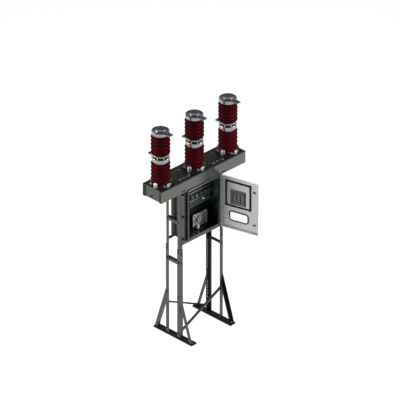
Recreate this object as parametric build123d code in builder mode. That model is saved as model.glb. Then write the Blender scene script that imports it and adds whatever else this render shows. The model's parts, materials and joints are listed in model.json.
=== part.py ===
"""Three-phase gas insulated breaker on an angle-steel stand, with an open control cabinet.

Millimetres, +Z up. The origin is on the ground, under the middle of the beam. X runs along the
beam through the three poles, and -Y is the side that the cabinet's door is on.
"""

import math
import os

from build123d import *

os.makedirs("parts", exist_ok=True)

# ---- Driving dimensions ------------------------------------------------------------------

# Stand: outer corner to outer corner of the legs, which are angle steel with the corner outward.
stand_width = 880.0
stand_depth = 290.0
rail_length = 790.0
rail_width = 110.0
rail_height = 20.0
rail_overhang = 16.0  # how far a foot rail reaches past the leg's outer face along X
rail_end_radius = 8.0
anchor_spacing_y = 690.0
anchor_hole_radius = 9.0
lower_leg_flange = 60.0
lower_leg_thickness = 6.0
lower_leg_top = 1505.0
upper_leg_flange = 50.0
upper_leg_thickness = 5.0
upper_leg_foot = 1228.0
adjusting_hole_radius = 7.0
adjusting_hole_pitch = 150.0
adjusting_hole_count = 5
adjusting_hole_low = 808.0

# Bracing of the stand.
tie_flange = 40.0
tie_thickness = 4.0
tie_tops = (1299.0, 1972.0)
knee_flange = 50.0
knee_thickness = 5.0
knee_foot_y = 383.0
knee_head_z = 765.0
diagonal_flange = 30.0
diagonal_thickness = 4.0
diagonal_low_z = 117.0
diagonal_high_z = 547.0
diagonal_end_gap = 2.0
shelf_flange = 50.0
shelf_thickness = 5.0
shelf_top = 1612.0

# Beam: two channels, end plates set in from their ends, a top plate and a bottom plate.
beam_length = 1710.0
beam_depth = 374.0
beam_height = 196.0
beam_top = 2658.0
beam_wall = 4.0
beam_flange = 45.0
beam_end_inset = 14.0
top_plate_inset = 6.0
top_plate_thickness = 4.0
cover_length = 273.0
cover_front_y = 130.0
cover_rear_y = 110.0
cover_thickness = 3.0
cover_corner_radius = 6.0

# Poles: each stage stands on the one below, from the top of the beam up.
pole_spacing = 680.0
pole_count = 3
base_plate_width = 280.0
base_plate_thickness = 12.0
base_plate_radius = 24.0
base_height = 29.0
base_neck_radius = 106.0
base_rib_count = 8
base_rib_angle = 22.5
base_rib_reach = 26.0
base_rib_thickness = 10.0
base_rib_drop = 3.0
core_radius = 96.0
shed_radius = 139.5
shed_slope = 22.0
shed_sides = 32  # each shed and core is drawn with this many flats, which keeps the model light
lower_insulator_height = 334.0
lower_shed_offset = 15.0
lower_shed_count = 6
upper_insulator_height = 317.0
upper_shed_offset = 43.0
upper_shed_count = 5
shed_pitch = 58.0
housing_neck_radius = 105.0
housing_neck_height = 26.0
housing_band_radius = 131.0
housing_band_height = 62.0
housing_groove_radius = 115.0
housing_groove_height = 17.0
housing_ring_radius = 128.0
housing_ring_height = 29.0
cap_neck_radius = 105.0
cap_neck_height = 14.0
cap_radius = 130.5
cap_height = 43.0
cap_boss_radius = 80.0
cap_boss_height = 12.0
pad_width = 80.0
pad_thickness = 18.0
pad_reach = 220.0
pad_hole_spacing = 40.0
pad_hole_radius = 7.0
pad_hole_edge = 25.0
housing_pad_drop = 14.0  # from the top of the housing's band to the top of its terminal

# Cabinet: a folded steel box between the legs, under the beam.
cabinet_left = -295.0
cabinet_right = 353.0
cabinet_front = -162.0
cabinet_rear = 125.0
cabinet_wall = 3.0
cabinet_lip = 36.0
strap_thickness = 4.0
strap_return = 40.0
strap_left_gap = 49.0
strap_right_gap = 8.0
strap_leg_margin = 27.0

# What the cabinet holds.
mounting_plate_y = 52.0
mounting_plate_thickness = 3.0
mounting_plate_margin = 12.0
standoff_radius = 8.0
standoff_inset = 30.0
rail_strip_height = 35.0
rail_strip_depth = 8.0
row_side_margin = 24.0
# Rows of devices, from the top: height above the cabinet's floor, number, width, height, depth.
device_rows = (
    (625.0, 1, 560.0, 30.0, 55.0),
    (558.0, 7, 62.0, 76.0, 78.0),
    (491.0, 1, 560.0, 26.0, 60.0),
    (428.0, 12, 38.0, 76.0, 56.0),
)
mechanism_left = -14.0
mechanism_width = 288.0
mechanism_floor_gap = 10.0
mechanism_height = 222.0
mechanism_face_y = 21.0
mechanism_plate_thickness = 8.0
mechanism_wall = 6.0
mechanism_corner = 46.0
shaft_x_offset = -44.0
shaft_z_offset = 26.0
wheel_radius = 70.0
wheel_thickness = 10.0
wheel_tooth_count = 24
wheel_tooth_depth = 6.0
wheel_gap = 8.0
wheel_hub_radius = 41.0
wheel_hub_rise = 12.0
wheel_bore_radius = 13.0
wheel_bore_depth = 14.0
spring_x_offset = 92.0
spring_radius = 17.0
spring_length = 118.0
spring_seat_height = 10.0
motor_x_offset = -90.0
motor_z_offset = -74.0
motor_radius = 30.0
motor_length = 62.0

# Door: hung on pins outside the cabinet's right wall and modelled open.
door_open_angle = 105.7
door_width = 622.0
door_height = 860.0
door_bottom_lap = 27.0  # how far the door hangs below the cabinet's floor
door_thickness = 22.0
door_sheet = 2.5
door_gap = 5.0
door_side_margin = 3.0
hinge_pin_offset = 10.0
hinge_pin_setback = 6.0
hinge_pin_radius = 4.0
hinge_pin_clearance = 0.08
hinge_barrel_radius = 6.5
hinge_leaf_length = 44.0
hinge_leaf_thickness = 3.0
hinge_end_gap = 0.5
hinge_lug_length = 16.0
hinge_height = 56.0
door_return = 25.0
upper_gasket_hinge_margin = 66.0
upper_gasket_free_margin = 138.0
upper_gasket_bottom = 371.0
upper_gasket_top_margin = 71.0
gasket_width = 24.0
gasket_rise = 6.0
slotted_panel_side_margin = 84.0
slotted_panel_bottom_margin = 43.0
slotted_panel_top_margin = 136.0
slotted_panel_rise = 14.0
slot_count = 3
slot_pitch = 62.0
slot_length = 150.0
slot_width = 24.0
slot_corner_radius = 10.0
window_hinge_margin = 133.0
window_free_margin = 184.0
window_bottom = 146.0
window_height = 140.0
window_radius = 40.0
window_gasket_width = 14.0
window_pane_thickness = 4.0
latch_free_margin = 89.0
latch_bottom_margin = 156.0
latch_top_margin = 161.0
latch_radius = 9.0
latch_reach = 16.0

# ---- Worked-out sizes ---------------------------------------------------------------------

leg_x = stand_width / 2
leg_y = stand_depth / 2
rail_x = leg_x + rail_overhang - rail_width / 2
upper_leg_x = leg_x - lower_leg_thickness
upper_leg_y = leg_y - lower_leg_thickness
inner_x = upper_leg_x - upper_leg_thickness
inner_y = upper_leg_y - upper_leg_thickness
beam_bottom = beam_top - beam_height
beam_half = beam_depth / 2
lower_insulator_top = base_height + lower_insulator_height
housing_band_bottom = lower_insulator_top + housing_neck_height
housing_band_top = housing_band_bottom + housing_band_height
housing_ring_bottom = housing_band_top + housing_groove_height
upper_insulator_bottom = housing_ring_bottom + housing_ring_height
upper_insulator_top = upper_insulator_bottom + upper_insulator_height
cap_bottom = upper_insulator_top + cap_neck_height
cap_top = cap_bottom + cap_height
pole_places = [(pole - (pole_count - 1) / 2) * pole_spacing for pole in range(pole_count)]
lip_inner_left = cabinet_left + cabinet_lip
lip_inner_right = cabinet_right - cabinet_lip
hinge_x = cabinet_right + hinge_pin_offset
hinge_y = cabinet_front + hinge_pin_setback
door_bottom = shelf_top - door_bottom_lap


def save(part, label):
    """Label a finished piece and write it to its own STEP file."""
    part.label = label
    export_step(part, f"parts/{label}.step")


def angle_section(corner_x, corner_y, flange, thickness):
    """Angle steel seen from its end: the outer corner, with both flanges reaching for the middle."""
    with BuildSketch(Plane.XY, mode=Mode.PRIVATE) as section:
        with Locations((corner_x, corner_y)):
            Rectangle(flange, thickness, align=(toward(corner_x), toward(corner_y)))
            Rectangle(thickness, flange, align=(toward(corner_x), toward(corner_y)))
    return section.sketch


def toward(place):
    """The alignment that makes a rectangle grow from a place towards zero."""
    return Align.MAX if place > 0 else Align.MIN


# ---- Stand --------------------------------------------------------------------------------

with BuildPart() as foot_rails:
    with BuildSketch(Plane.XY):
        with Locations((-rail_x, 0), (rail_x, 0)):
            RectangleRounded(rail_width, rail_length, rail_end_radius)
        with GridLocations(2 * rail_x, anchor_spacing_y, 2, 2):
            Circle(anchor_hole_radius, mode=Mode.SUBTRACT)
    extrude(amount=rail_height)
save(foot_rails.part, "foot_rails")

for side, name in ((-1, "left"), (1, "right")):
    with BuildPart() as lower_legs:
        with BuildSketch(Plane.XY.offset(rail_height)):
            add(angle_section(side * leg_x, -leg_y, lower_leg_flange, lower_leg_thickness))
            add(angle_section(side * leg_x, leg_y, lower_leg_flange, lower_leg_thickness))
        extrude(amount=lower_leg_top - rail_height)
        hole_x = side * (leg_x - lower_leg_flange / 2)
        for row in range(adjusting_hole_count):
            height = adjusting_hole_low + row * adjusting_hole_pitch
            with BuildSketch(Plane.XZ.offset(leg_y)):
                with Locations((hole_x, height)):
                    Circle(adjusting_hole_radius)
            extrude(amount=-stand_depth, mode=Mode.SUBTRACT)
    save(lower_legs.part, f"lower_legs_{name}")

    with BuildPart() as upper_legs:
        with BuildSketch(Plane.XY.offset(upper_leg_foot)):
            add(angle_section(side * upper_leg_x, -upper_leg_y, upper_leg_flange, upper_leg_thickness))
            add(angle_section(side * upper_leg_x, upper_leg_y, upper_leg_flange, upper_leg_thickness))
        extrude(amount=beam_bottom - upper_leg_foot)
    save(upper_legs.part, f"upper_legs_{name}")

    # Ties from front leg to rear leg, with the corner of the angle at the top and outside.
    with BuildPart() as side_ties:
        for tie_top in tie_tops:
            with BuildSketch(Plane.XZ.offset(inner_y)):
                with Locations((side * inner_x, tie_top)):
                    Rectangle(tie_thickness, tie_flange, align=(toward(side), Align.MAX))
                    Rectangle(tie_flange, tie_thickness, align=(toward(side), Align.MAX))
            extrude(amount=-2 * inner_y)
    save(side_ties.part, f"side_ties_{name}")

    # Knee braces from the ends of the foot rail up to the legs' front and rear faces, each with
    # its second flange on the side towards the leg.
    slope = (knee_head_z - rail_height) / (knee_foot_y - leg_y)
    run_per_width = (1 + 1 / slope**2) ** 0.5
    with BuildPart() as knee_braces:
        for width, depth in ((knee_flange, knee_thickness), (knee_thickness, knee_flange)):
            near = knee_flange * run_per_width
            far = near - width * run_per_width
            with BuildSketch(Plane.YZ.offset(side * leg_x)):
                with BuildLine():
                    Polyline(
                        (-knee_foot_y + far, rail_height),
                        (-leg_y, knee_head_z - far * slope),
                        (-leg_y, knee_head_z - near * slope),
                        (-knee_foot_y + near, rail_height),
                        close=True,
                    )
                make_face()
            extrude(amount=-side * depth)
        mirror(about=Plane.XZ)
    save(knee_braces.part, f"knee_braces_{name}")

# One long diagonal in the front of the stand and one in the rear, falling the opposite way.
for side, name in ((-1, "front"), (1, "rear")):
    plate_face = side * (leg_y - lower_leg_thickness)
    reach = upper_leg_x - diagonal_end_gap
    with BuildPart() as diagonal:
        for width, depth in (
            (diagonal_flange, diagonal_thickness),
            (diagonal_thickness, diagonal_flange),
        ):
            with BuildSketch(Plane.XZ.offset(-plate_face)):
                with BuildLine():
                    Polyline(
                        (side * reach, diagonal_low_z),
                        (-side * reach, diagonal_high_z),
                        (-side * reach, diagonal_high_z - width),
                        (side * reach, diagonal_low_z - width),
                        close=True,
                    )
                make_face()
            extrude(amount=side * depth)
    save(diagonal.part, f"diagonal_{name}")

# Two angles from leg to leg, which the cabinet stands on.
with BuildPart() as shelf_angles:
    with BuildSketch(Plane.YZ.offset(-inner_x)):
        for side in (-1, 1):
            with Locations((side * inner_y, shelf_top)):
                Rectangle(shelf_thickness, shelf_flange, align=(toward(side), Align.MAX))
                Rectangle(shelf_flange, shelf_thickness, align=(toward(side), Align.MAX))
    extrude(amount=2 * inner_x)
save(shelf_angles.part, "shelf_angles")

# Angles on the front legs, one on each side of the cabinet.
left_strap_width = upper_leg_x - strap_leg_margin + cabinet_left - strap_left_gap
right_strap_width = upper_leg_x - strap_leg_margin - cabinet_right - strap_right_gap
with BuildPart() as cabinet_straps:
    with BuildSketch(Plane.XY.offset(shelf_top)):
        with Locations((cabinet_left - strap_left_gap, -upper_leg_y - strap_thickness)):
            Rectangle(left_strap_width, strap_thickness, align=(Align.MAX, Align.MIN))
            Rectangle(strap_thickness, strap_return, align=(Align.MAX, Align.MIN))
        with Locations((cabinet_right + strap_right_gap, -upper_leg_y - strap_thickness)):
            Rectangle(right_strap_width, strap_thickness, align=(Align.MIN, Align.MIN))
            Rectangle(strap_thickness, strap_return, align=(Align.MIN, Align.MIN))
    extrude(amount=beam_bottom - shelf_top)
save(cabinet_straps.part, "cabinet_straps")

# ---- Beam ---------------------------------------------------------------------------------

for side, name in ((-1, "front"), (1, "rear")):
    with BuildPart() as channel:
        with BuildSketch(Plane.YZ.offset(-beam_length / 2)):
            with Locations((side * beam_half, beam_bottom)):
                Rectangle(
                    beam_wall,
                    beam_height - top_plate_thickness,
                    align=(toward(side), Align.MIN),
                )
                Rectangle(beam_flange, beam_wall, align=(toward(side), Align.MIN))
            with Locations((side * beam_half, beam_top - top_plate_thickness)):
                Rectangle(beam_flange, beam_wall, align=(toward(side), Align.MAX))
        extrude(amount=beam_length)
    save(channel.part, f"beam_{name}_channel")

plate_half = beam_length / 2 - beam_end_inset
inside_depth = beam_depth - 2 * beam_wall
with BuildPart() as beam_end_plates:
    for side in (-1, 1):
        with BuildSketch(Plane.YZ.offset(side * plate_half)):
            with Locations((0, (beam_bottom + beam_top - top_plate_thickness) / 2)):
                Rectangle(inside_depth, beam_height - top_plate_thickness)
                for corner_y in (-1, 1):
                    for corner_z in (-1, 1):
                        with Locations(
                            (
                                corner_y * inside_depth / 2,
                                corner_z * (beam_height - top_plate_thickness) / 2,
                            )
                        ):
                            Rectangle(
                                2 * (beam_flange - beam_wall),
                                2 * beam_wall,
                                mode=Mode.SUBTRACT,
                            )
        extrude(amount=-side * beam_wall)
save(beam_end_plates.part, "beam_end_plates")

with BuildPart() as beam_top_plate:
    with BuildSketch(Plane.XY.offset(beam_top - top_plate_thickness)):
        Rectangle(beam_length - 2 * top_plate_inset, beam_depth - 2 * top_plate_inset)
    extrude(amount=top_plate_thickness)
save(beam_top_plate.part, "beam_top_plate")

with BuildPart() as beam_bottom_plate:
    with BuildSketch(Plane.XY.offset(beam_bottom + beam_wall)):
        Rectangle(2 * (plate_half - beam_wall), inside_depth)
    extrude(amount=beam_wall)
save(beam_bottom_plate.part, "beam_bottom_plate")

# Covers between the poles, over the linkage that drives the contacts.
with BuildPart() as inspection_covers:
    with BuildSketch(Plane.XY.offset(beam_top)):
        with Locations(
            (-pole_spacing / 2, (cover_rear_y - cover_front_y) / 2),
            (pole_spacing / 2, (cover_rear_y - cover_front_y) / 2),
        ):
            RectangleRounded(cover_length, cover_front_y + cover_rear_y, cover_corner_radius)
    extrude(amount=cover_thickness)
save(inspection_covers.part, "inspection_covers")

# ---- Poles --------------------------------------------------------------------------------

pole_row = GridLocations(pole_spacing, 1, pole_count, 1)
tip_row = pad_reach - pad_hole_edge - pad_hole_spacing / 2
shed_taper = math.degrees(
    math.atan((shed_radius - core_radius) * math.cos(math.pi / shed_sides) / shed_slope)
)


def terminal_pads(direction, root):
    """Flat terminals reaching out from the poles' round housings, with four holes near each tip."""
    with BuildSketch(Plane.XY, mode=Mode.PRIVATE) as pads:
        with GridLocations(pole_spacing, 1, pole_count, 1):
            with Locations((0, direction * (root + pad_reach) / 2)):
                Rectangle(pad_width, pad_reach - root)
            with Locations((0, direction * tip_row)):
                with GridLocations(pad_hole_spacing, pad_hole_spacing, 2, 2):
                    Circle(pad_hole_radius, mode=Mode.SUBTRACT)
    return pads.sketch


with BuildPart() as pole_bases:
    with BuildSketch(Plane.XY.offset(beam_top)):
        with pole_row:
            RectangleRounded(base_plate_width, base_plate_width, base_plate_radius)
    extrude(amount=base_plate_thickness)
    with BuildSketch(Plane.XY.offset(beam_top)):
        with pole_row:
            Circle(base_neck_radius)
    extrude(amount=base_height)
    with BuildSketch(Plane.XY.offset(beam_top)):
        with pole_row:
            with PolarLocations(base_neck_radius, base_rib_count, start_angle=base_rib_angle):
                Rectangle(2 * base_rib_reach, base_rib_thickness)
    extrude(amount=base_height - base_rib_drop)
save(pole_bases.part, "pole_bases")

# Insulators: name, foot and top above the beam, height of the lowest shed, number of sheds.
insulators = (
    (
        "lower_insulators",
        base_height,
        lower_insulator_top,
        base_height + lower_shed_offset,
        lower_shed_count,
    ),
    (
        "upper_insulators",
        upper_insulator_bottom,
        upper_insulator_top,
        upper_insulator_bottom + upper_shed_offset,
        upper_shed_count,
    ),
)
for name, foot, top, lowest, count in insulators:
    with BuildPart() as stage:
        with BuildSketch(Plane.XY.offset(beam_top + foot)):
            with pole_row:
                RegularPolygon(core_radius, shed_sides)
        extrude(amount=top - foot)
        for shed in range(count):
            with BuildSketch(Plane.XY.offset(beam_top + lowest + shed * shed_pitch)):
                with pole_row:
                    RegularPolygon(shed_radius, shed_sides)
            extrude(amount=shed_slope, taper=shed_taper)
    save(stage.part, name)

# The housing between the insulators: a neck, a wide band, a bolted groove and a ring on top.
with BuildPart() as pole_housings:
    for x in pole_places:
        with BuildSketch(Plane(origin=(x, 0, beam_top), x_dir=(1, 0, 0), z_dir=(0, -1, 0))):
            with BuildLine():
                Polyline(
                    (0, lower_insulator_top),
                    (housing_neck_radius, lower_insulator_top),
                    (housing_neck_radius, housing_band_bottom),
                    (housing_band_radius, housing_band_bottom),
                    (housing_band_radius, housing_band_top),
                    (housing_groove_radius, housing_band_top),
                    (housing_groove_radius, housing_ring_bottom),
                    (housing_ring_radius, housing_ring_bottom),
                    (housing_ring_radius, upper_insulator_bottom),
                    (0, upper_insulator_bottom),
                    close=True,
                )
            make_face()
        revolve(axis=Axis((x, 0, 0), (0, 0, 1)))
    with BuildSketch(Plane.XY.offset(beam_top + housing_band_top - housing_pad_drop)):
        add(terminal_pads(1, housing_band_radius / 2))
    extrude(amount=-pad_thickness)
save(pole_housings.part, "pole_housings")

with BuildPart() as pole_caps:
    for x in pole_places:
        with BuildSketch(Plane(origin=(x, 0, beam_top), x_dir=(1, 0, 0), z_dir=(0, -1, 0))):
            with BuildLine():
                Polyline(
                    (0, upper_insulator_top),
                    (cap_neck_radius, upper_insulator_top),
                    (cap_neck_radius, cap_bottom),
                    (cap_radius, cap_bottom),
                    (cap_radius, cap_top),
                    (cap_boss_radius, cap_top),
                    (cap_boss_radius, cap_top + cap_boss_height),
                    (0, cap_top + cap_boss_height),
                    close=True,
                )
            make_face()
        revolve(axis=Axis((x, 0, 0), (0, 0, 1)))
    with BuildSketch(Plane.XY.offset(beam_top + cap_top)):
        add(terminal_pads(-1, cap_radius / 2))
    extrude(amount=-pad_thickness)
save(pole_caps.part, "pole_caps")

# ---- Cabinet ------------------------------------------------------------------------------

with BuildPart() as cabinet_back:
    with BuildSketch(Plane.XY.offset(shelf_top + cabinet_wall)):
        with Locations((cabinet_left + cabinet_wall, cabinet_rear)):
            Rectangle(
                cabinet_right - cabinet_left - 2 * cabinet_wall,
                cabinet_wall,
                align=(Align.MIN, Align.MAX),
            )
    extrude(amount=beam_bottom - shelf_top - 2 * cabinet_wall)
save(cabinet_back.part, "cabinet_back")

# Side walls, each with a lip folded in across the front.
with BuildPart() as cabinet_sides:
    with BuildSketch(Plane.XY.offset(shelf_top)):
        with Locations((cabinet_left, cabinet_front)):
            Rectangle(cabinet_wall, cabinet_rear - cabinet_front, align=(Align.MIN, Align.MIN))
            Rectangle(cabinet_lip, cabinet_wall, align=(Align.MIN, Align.MIN))
        with Locations((cabinet_right, cabinet_front)):
            Rectangle(cabinet_wall, cabinet_rear - cabinet_front, align=(Align.MAX, Align.MIN))
            Rectangle(cabinet_lip, cabinet_wall, align=(Align.MAX, Align.MIN))
    extrude(amount=beam_bottom - shelf_top)
save(cabinet_sides.part, "cabinet_sides")

# Roof and floor between the side walls, with the same lip.
for name, level, rise in (("cabinet_floor", shelf_top, 1), ("cabinet_roof", beam_bottom, -1)):
    grow = Align.MIN if rise > 0 else Align.MAX
    with BuildPart() as cover:
        with BuildSketch(Plane.YZ.offset(cabinet_left + cabinet_wall)):
            with Locations((cabinet_front + cabinet_wall, level)):
                Rectangle(
                    cabinet_rear - cabinet_front - cabinet_wall,
                    cabinet_wall,
                    align=(Align.MIN, grow),
                )
        extrude(amount=cabinet_right - cabinet_left - 2 * cabinet_wall)
        with BuildSketch(Plane.YZ.offset(lip_inner_left)):
            with Locations((cabinet_front, level)):
                Rectangle(cabinet_wall, cabinet_lip, align=(Align.MIN, grow))
                Rectangle(2 * cabinet_wall, cabinet_wall, align=(Align.MIN, grow))
        extrude(amount=lip_inner_right - lip_inner_left)
    save(cover.part, name)

plate_left = cabinet_left + cabinet_wall + mounting_plate_margin
plate_right = cabinet_right - cabinet_wall - mounting_plate_margin
plate_low = shelf_top + cabinet_wall + mounting_plate_margin
plate_high = beam_bottom - cabinet_wall - mounting_plate_margin
plate_middle_x = (plate_left + plate_right) / 2
plate_middle_z = (plate_low + plate_high) / 2
plate_front = Plane(origin=(plate_middle_x, mounting_plate_y, plate_middle_z), x_dir=(1, 0, 0), z_dir=(0, -1, 0))
with BuildPart() as mounting_plate:
    with BuildSketch(plate_front):
        Rectangle(plate_right - plate_left, plate_high - plate_low)
    extrude(amount=-mounting_plate_thickness)
    with BuildSketch(plate_front):
        with GridLocations(
            plate_right - plate_left - 2 * standoff_inset,
            plate_high - plate_low - 2 * standoff_inset,
            2,
            2,
        ):
            Circle(standoff_radius)
    extrude(amount=-(cabinet_rear - cabinet_wall - mounting_plate_y))
save(mounting_plate.part, "mounting_plate")

# Rows of terminal blocks and relays on rails, in the upper part of the cabinet.
rail_length_inside = plate_right - plate_left - 2 * row_side_margin
with BuildPart() as terminal_rows:
    for height, number, width, tall, deep in device_rows:
        row_z = shelf_top + height - plate_middle_z
        with BuildSketch(plate_front):
            with Locations((0, row_z)):
                Rectangle(rail_length_inside, rail_strip_height)
        extrude(amount=rail_strip_depth)
        with BuildSketch(plate_front):
            with Locations((0, row_z)):
                with GridLocations((rail_length_inside - width) / max(number - 1, 1), 1, number, 1):
                    Rectangle(width, tall)
        extrude(amount=deep)
save(terminal_rows.part, "terminal_rows")

# Operating mechanism: an open steel frame, with a bearing plate in front that carries a toothed
# charging wheel, its motor and the closing spring.
mechanism_plane = Plane(
    origin=(
        mechanism_left + mechanism_width / 2,
        mechanism_face_y,
        shelf_top + mechanism_floor_gap + mechanism_height / 2,
    ),
    x_dir=(1, 0, 0),
    z_dir=(0, -1, 0),
)
bearing_plane = mechanism_plane.offset(mechanism_plate_thickness)
with BuildPart() as mechanism_box:
    with BuildSketch(mechanism_plane):
        Rectangle(mechanism_width, mechanism_height)
        Rectangle(
            mechanism_width - 2 * mechanism_wall,
            mechanism_height - 2 * mechanism_wall,
            mode=Mode.SUBTRACT,
        )
    extrude(amount=-(mounting_plate_y - mechanism_face_y))
save(mechanism_box.part, "mechanism_box")

with BuildPart() as mechanism_plate:
    with BuildSketch(mechanism_plane):
        with BuildLine():
            Polyline(
                (-mechanism_width / 2, -mechanism_height / 2),
                (mechanism_width / 2, -mechanism_height / 2),
                (mechanism_width / 2, mechanism_height / 2),
                (-mechanism_width / 2 + mechanism_corner, mechanism_height / 2),
                (-mechanism_width / 2, mechanism_height / 2 - mechanism_corner),
                close=True,
            )
        make_face()
    extrude(amount=mechanism_plate_thickness)
save(mechanism_plate.part, "mechanism_plate")

with BuildPart() as charging_wheel:
    with BuildSketch(bearing_plane):
        with Locations((shaft_x_offset, shaft_z_offset)):
            Circle(wheel_bore_radius)
    extrude(amount=wheel_gap)
    with BuildSketch(bearing_plane.offset(wheel_gap)):
        with Locations((shaft_x_offset, shaft_z_offset)):
            Circle(wheel_radius)
            with PolarLocations(wheel_radius, wheel_tooth_count):
                Rectangle(2 * wheel_tooth_depth, wheel_tooth_depth, mode=Mode.SUBTRACT)
    extrude(amount=wheel_thickness)
    with BuildSketch(bearing_plane.offset(wheel_gap + wheel_thickness)):
        with Locations((shaft_x_offset, shaft_z_offset)):
            Circle(wheel_hub_radius)
    extrude(amount=wheel_hub_rise)
    with BuildSketch(bearing_plane.offset(wheel_gap + wheel_thickness + wheel_hub_rise)):
        with Locations((shaft_x_offset, shaft_z_offset)):
            Circle(wheel_bore_radius)
    extrude(amount=-wheel_bore_depth, mode=Mode.SUBTRACT)
save(charging_wheel.part, "charging_wheel")

# The closing spring in its sleeve, upright between two seats.
with BuildPart() as closing_spring:
    for end in (-1, 1):
        with BuildSketch(bearing_plane):
            with Locations((spring_x_offset, end * (spring_length + spring_seat_height) / 2)):
                Rectangle(2 * spring_radius + spring_seat_height, spring_seat_height)
        extrude(amount=2 * spring_radius + spring_seat_height)
    sleeve_plane = Plane(
        origin=(
            bearing_plane.origin.X + spring_x_offset,
            bearing_plane.origin.Y - spring_radius - spring_seat_height / 2,
            bearing_plane.origin.Z - spring_length / 2,
        )
    )
    with BuildSketch(sleeve_plane):
        Circle(spring_radius)
    extrude(amount=spring_length)
save(closing_spring.part, "closing_spring")

with BuildPart() as charging_motor:
    with BuildSketch(bearing_plane):
        with Locations((motor_x_offset, motor_z_offset)):
            Circle(motor_radius)
    extrude(amount=motor_length)
save(charging_motor.part, "charging_motor")

# ---- Door ---------------------------------------------------------------------------------

# The door is drawn on the plane of its inner face: x runs from the hinge edge to the free edge,
# y runs up, and the plane's normal points into the cabinet when the door is shut.
hinge_pin = Vector(hinge_x, hinge_y, door_bottom)
shut_corner = Vector(cabinet_right - door_side_margin, cabinet_front - door_gap, door_bottom)
shut_run = Vector(-1, 0, 0)
door_corner = hinge_pin + (shut_corner - hinge_pin).rotate(Axis.Z, door_open_angle)
door_run = shut_run.rotate(Axis.Z, door_open_angle)
door_plane = Plane(origin=door_corner, x_dir=door_run, z_dir=door_run.cross(Vector(0, 0, 1)))
hinge_plane = Plane(origin=hinge_pin, x_dir=door_run, z_dir=(0, 0, 1))
pin_s = shut_corner.X - hinge_x
pin_n = hinge_y - shut_corner.Y


window_length = door_width - window_hinge_margin - window_free_margin
window_centre = (window_hinge_margin + window_length / 2, window_bottom + window_height / 2)
gasket_length = door_width - upper_gasket_hinge_margin - upper_gasket_free_margin
gasket_height = door_height - upper_gasket_bottom - upper_gasket_top_margin
gasket_centre = (
    upper_gasket_hinge_margin + gasket_length / 2,
    upper_gasket_bottom + gasket_height / 2,
)
slotted_length = gasket_length - 2 * slotted_panel_side_margin
slotted_height = gasket_height - slotted_panel_bottom_margin - slotted_panel_top_margin
slotted_centre = (
    gasket_centre[0],
    upper_gasket_bottom + slotted_panel_bottom_margin + slotted_height / 2,
)

with BuildPart() as door_panel:
    with BuildSketch(door_plane):
        Rectangle(door_width, door_height, align=(Align.MIN, Align.MIN))
    extrude(amount=-door_thickness)
    with BuildSketch(door_plane.offset(-door_sheet)):
        with Locations((door_width / 2, door_height / 2)):
            Rectangle(door_width - 2 * door_sheet, door_height - 2 * door_sheet)
    extrude(amount=-(door_thickness - 2 * door_sheet), mode=Mode.SUBTRACT)
    with BuildSketch(door_plane):
        with Locations((door_width / 2, door_height / 2)):
            Rectangle(door_width - 2 * door_return, door_height - 2 * door_return)
    extrude(amount=-door_sheet, mode=Mode.SUBTRACT)
    with BuildSketch(door_plane):
        with Locations(window_centre):
            RectangleRounded(window_length, window_height, window_radius)
    extrude(amount=-door_thickness, mode=Mode.SUBTRACT)
save(door_panel.part, "door_panel")

inner_skin = door_plane.offset(-(door_thickness - door_sheet))
with BuildPart() as door_gaskets:
    with BuildSketch(inner_skin):
        with Locations(window_centre):
            RectangleRounded(
                window_length + 2 * window_gasket_width,
                window_height + 2 * window_gasket_width,
                window_radius + window_gasket_width,
            )
            RectangleRounded(window_length, window_height, window_radius, mode=Mode.SUBTRACT)
        with Locations(gasket_centre):
            Rectangle(gasket_length, gasket_height)
            Rectangle(
                gasket_length - 2 * gasket_width,
                gasket_height - 2 * gasket_width,
                mode=Mode.SUBTRACT,
            )
    extrude(amount=gasket_rise)
save(door_gaskets.part, "door_gaskets")

with BuildPart() as window_pane:
    with BuildSketch(inner_skin.offset(gasket_rise)):
        with Locations(window_centre):
            RectangleRounded(
                window_length + window_gasket_width,
                window_height + window_gasket_width,
                window_radius + window_gasket_width / 2,
            )
    extrude(amount=window_pane_thickness)
save(window_pane.part, "window_pane")

with BuildPart() as slotted_panel:
    with BuildSketch(inner_skin):
        with Locations(slotted_centre):
            RectangleRounded(slotted_length, slotted_height, slot_corner_radius)
            with GridLocations(slot_pitch, 1, slot_count, 1):
                SlotOverall(slot_length, slot_width, rotation=90, mode=Mode.SUBTRACT)
    extrude(amount=slotted_panel_rise)
save(slotted_panel.part, "slotted_panel")

with BuildPart() as door_latches:
    with BuildSketch(inner_skin):
        with Locations(
            (door_width - latch_free_margin, latch_bottom_margin),
            (door_width - latch_free_margin, door_height - latch_top_margin),
        ):
            Circle(latch_radius)
    extrude(amount=latch_reach)
save(door_latches.part, "door_latches")

# Hinges: a leaf on the door's edge turns on a pin held by two lugs on the cabinet's wall.
hinge_levels = (hinge_height, door_height - hinge_height)
with BuildPart() as door_hinge_leaves:
    for level in hinge_levels:
        with BuildSketch(hinge_plane.offset(level - hinge_leaf_length / 2)):
            with BuildLine():
                Polyline(
                    (0, 0),
                    (-pin_s, pin_n),
                    (-pin_s, pin_n + door_thickness),
                    (-pin_s - hinge_leaf_thickness, pin_n + door_thickness),
                    (-pin_s - hinge_leaf_thickness, pin_n + hinge_leaf_thickness),
                    close=True,
                )
            make_face()
            Circle(hinge_barrel_radius)
            Circle(hinge_pin_radius + hinge_pin_clearance, mode=Mode.SUBTRACT)
        extrude(amount=hinge_leaf_length)
save(door_hinge_leaves.part, "door_hinge_leaves")

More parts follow.
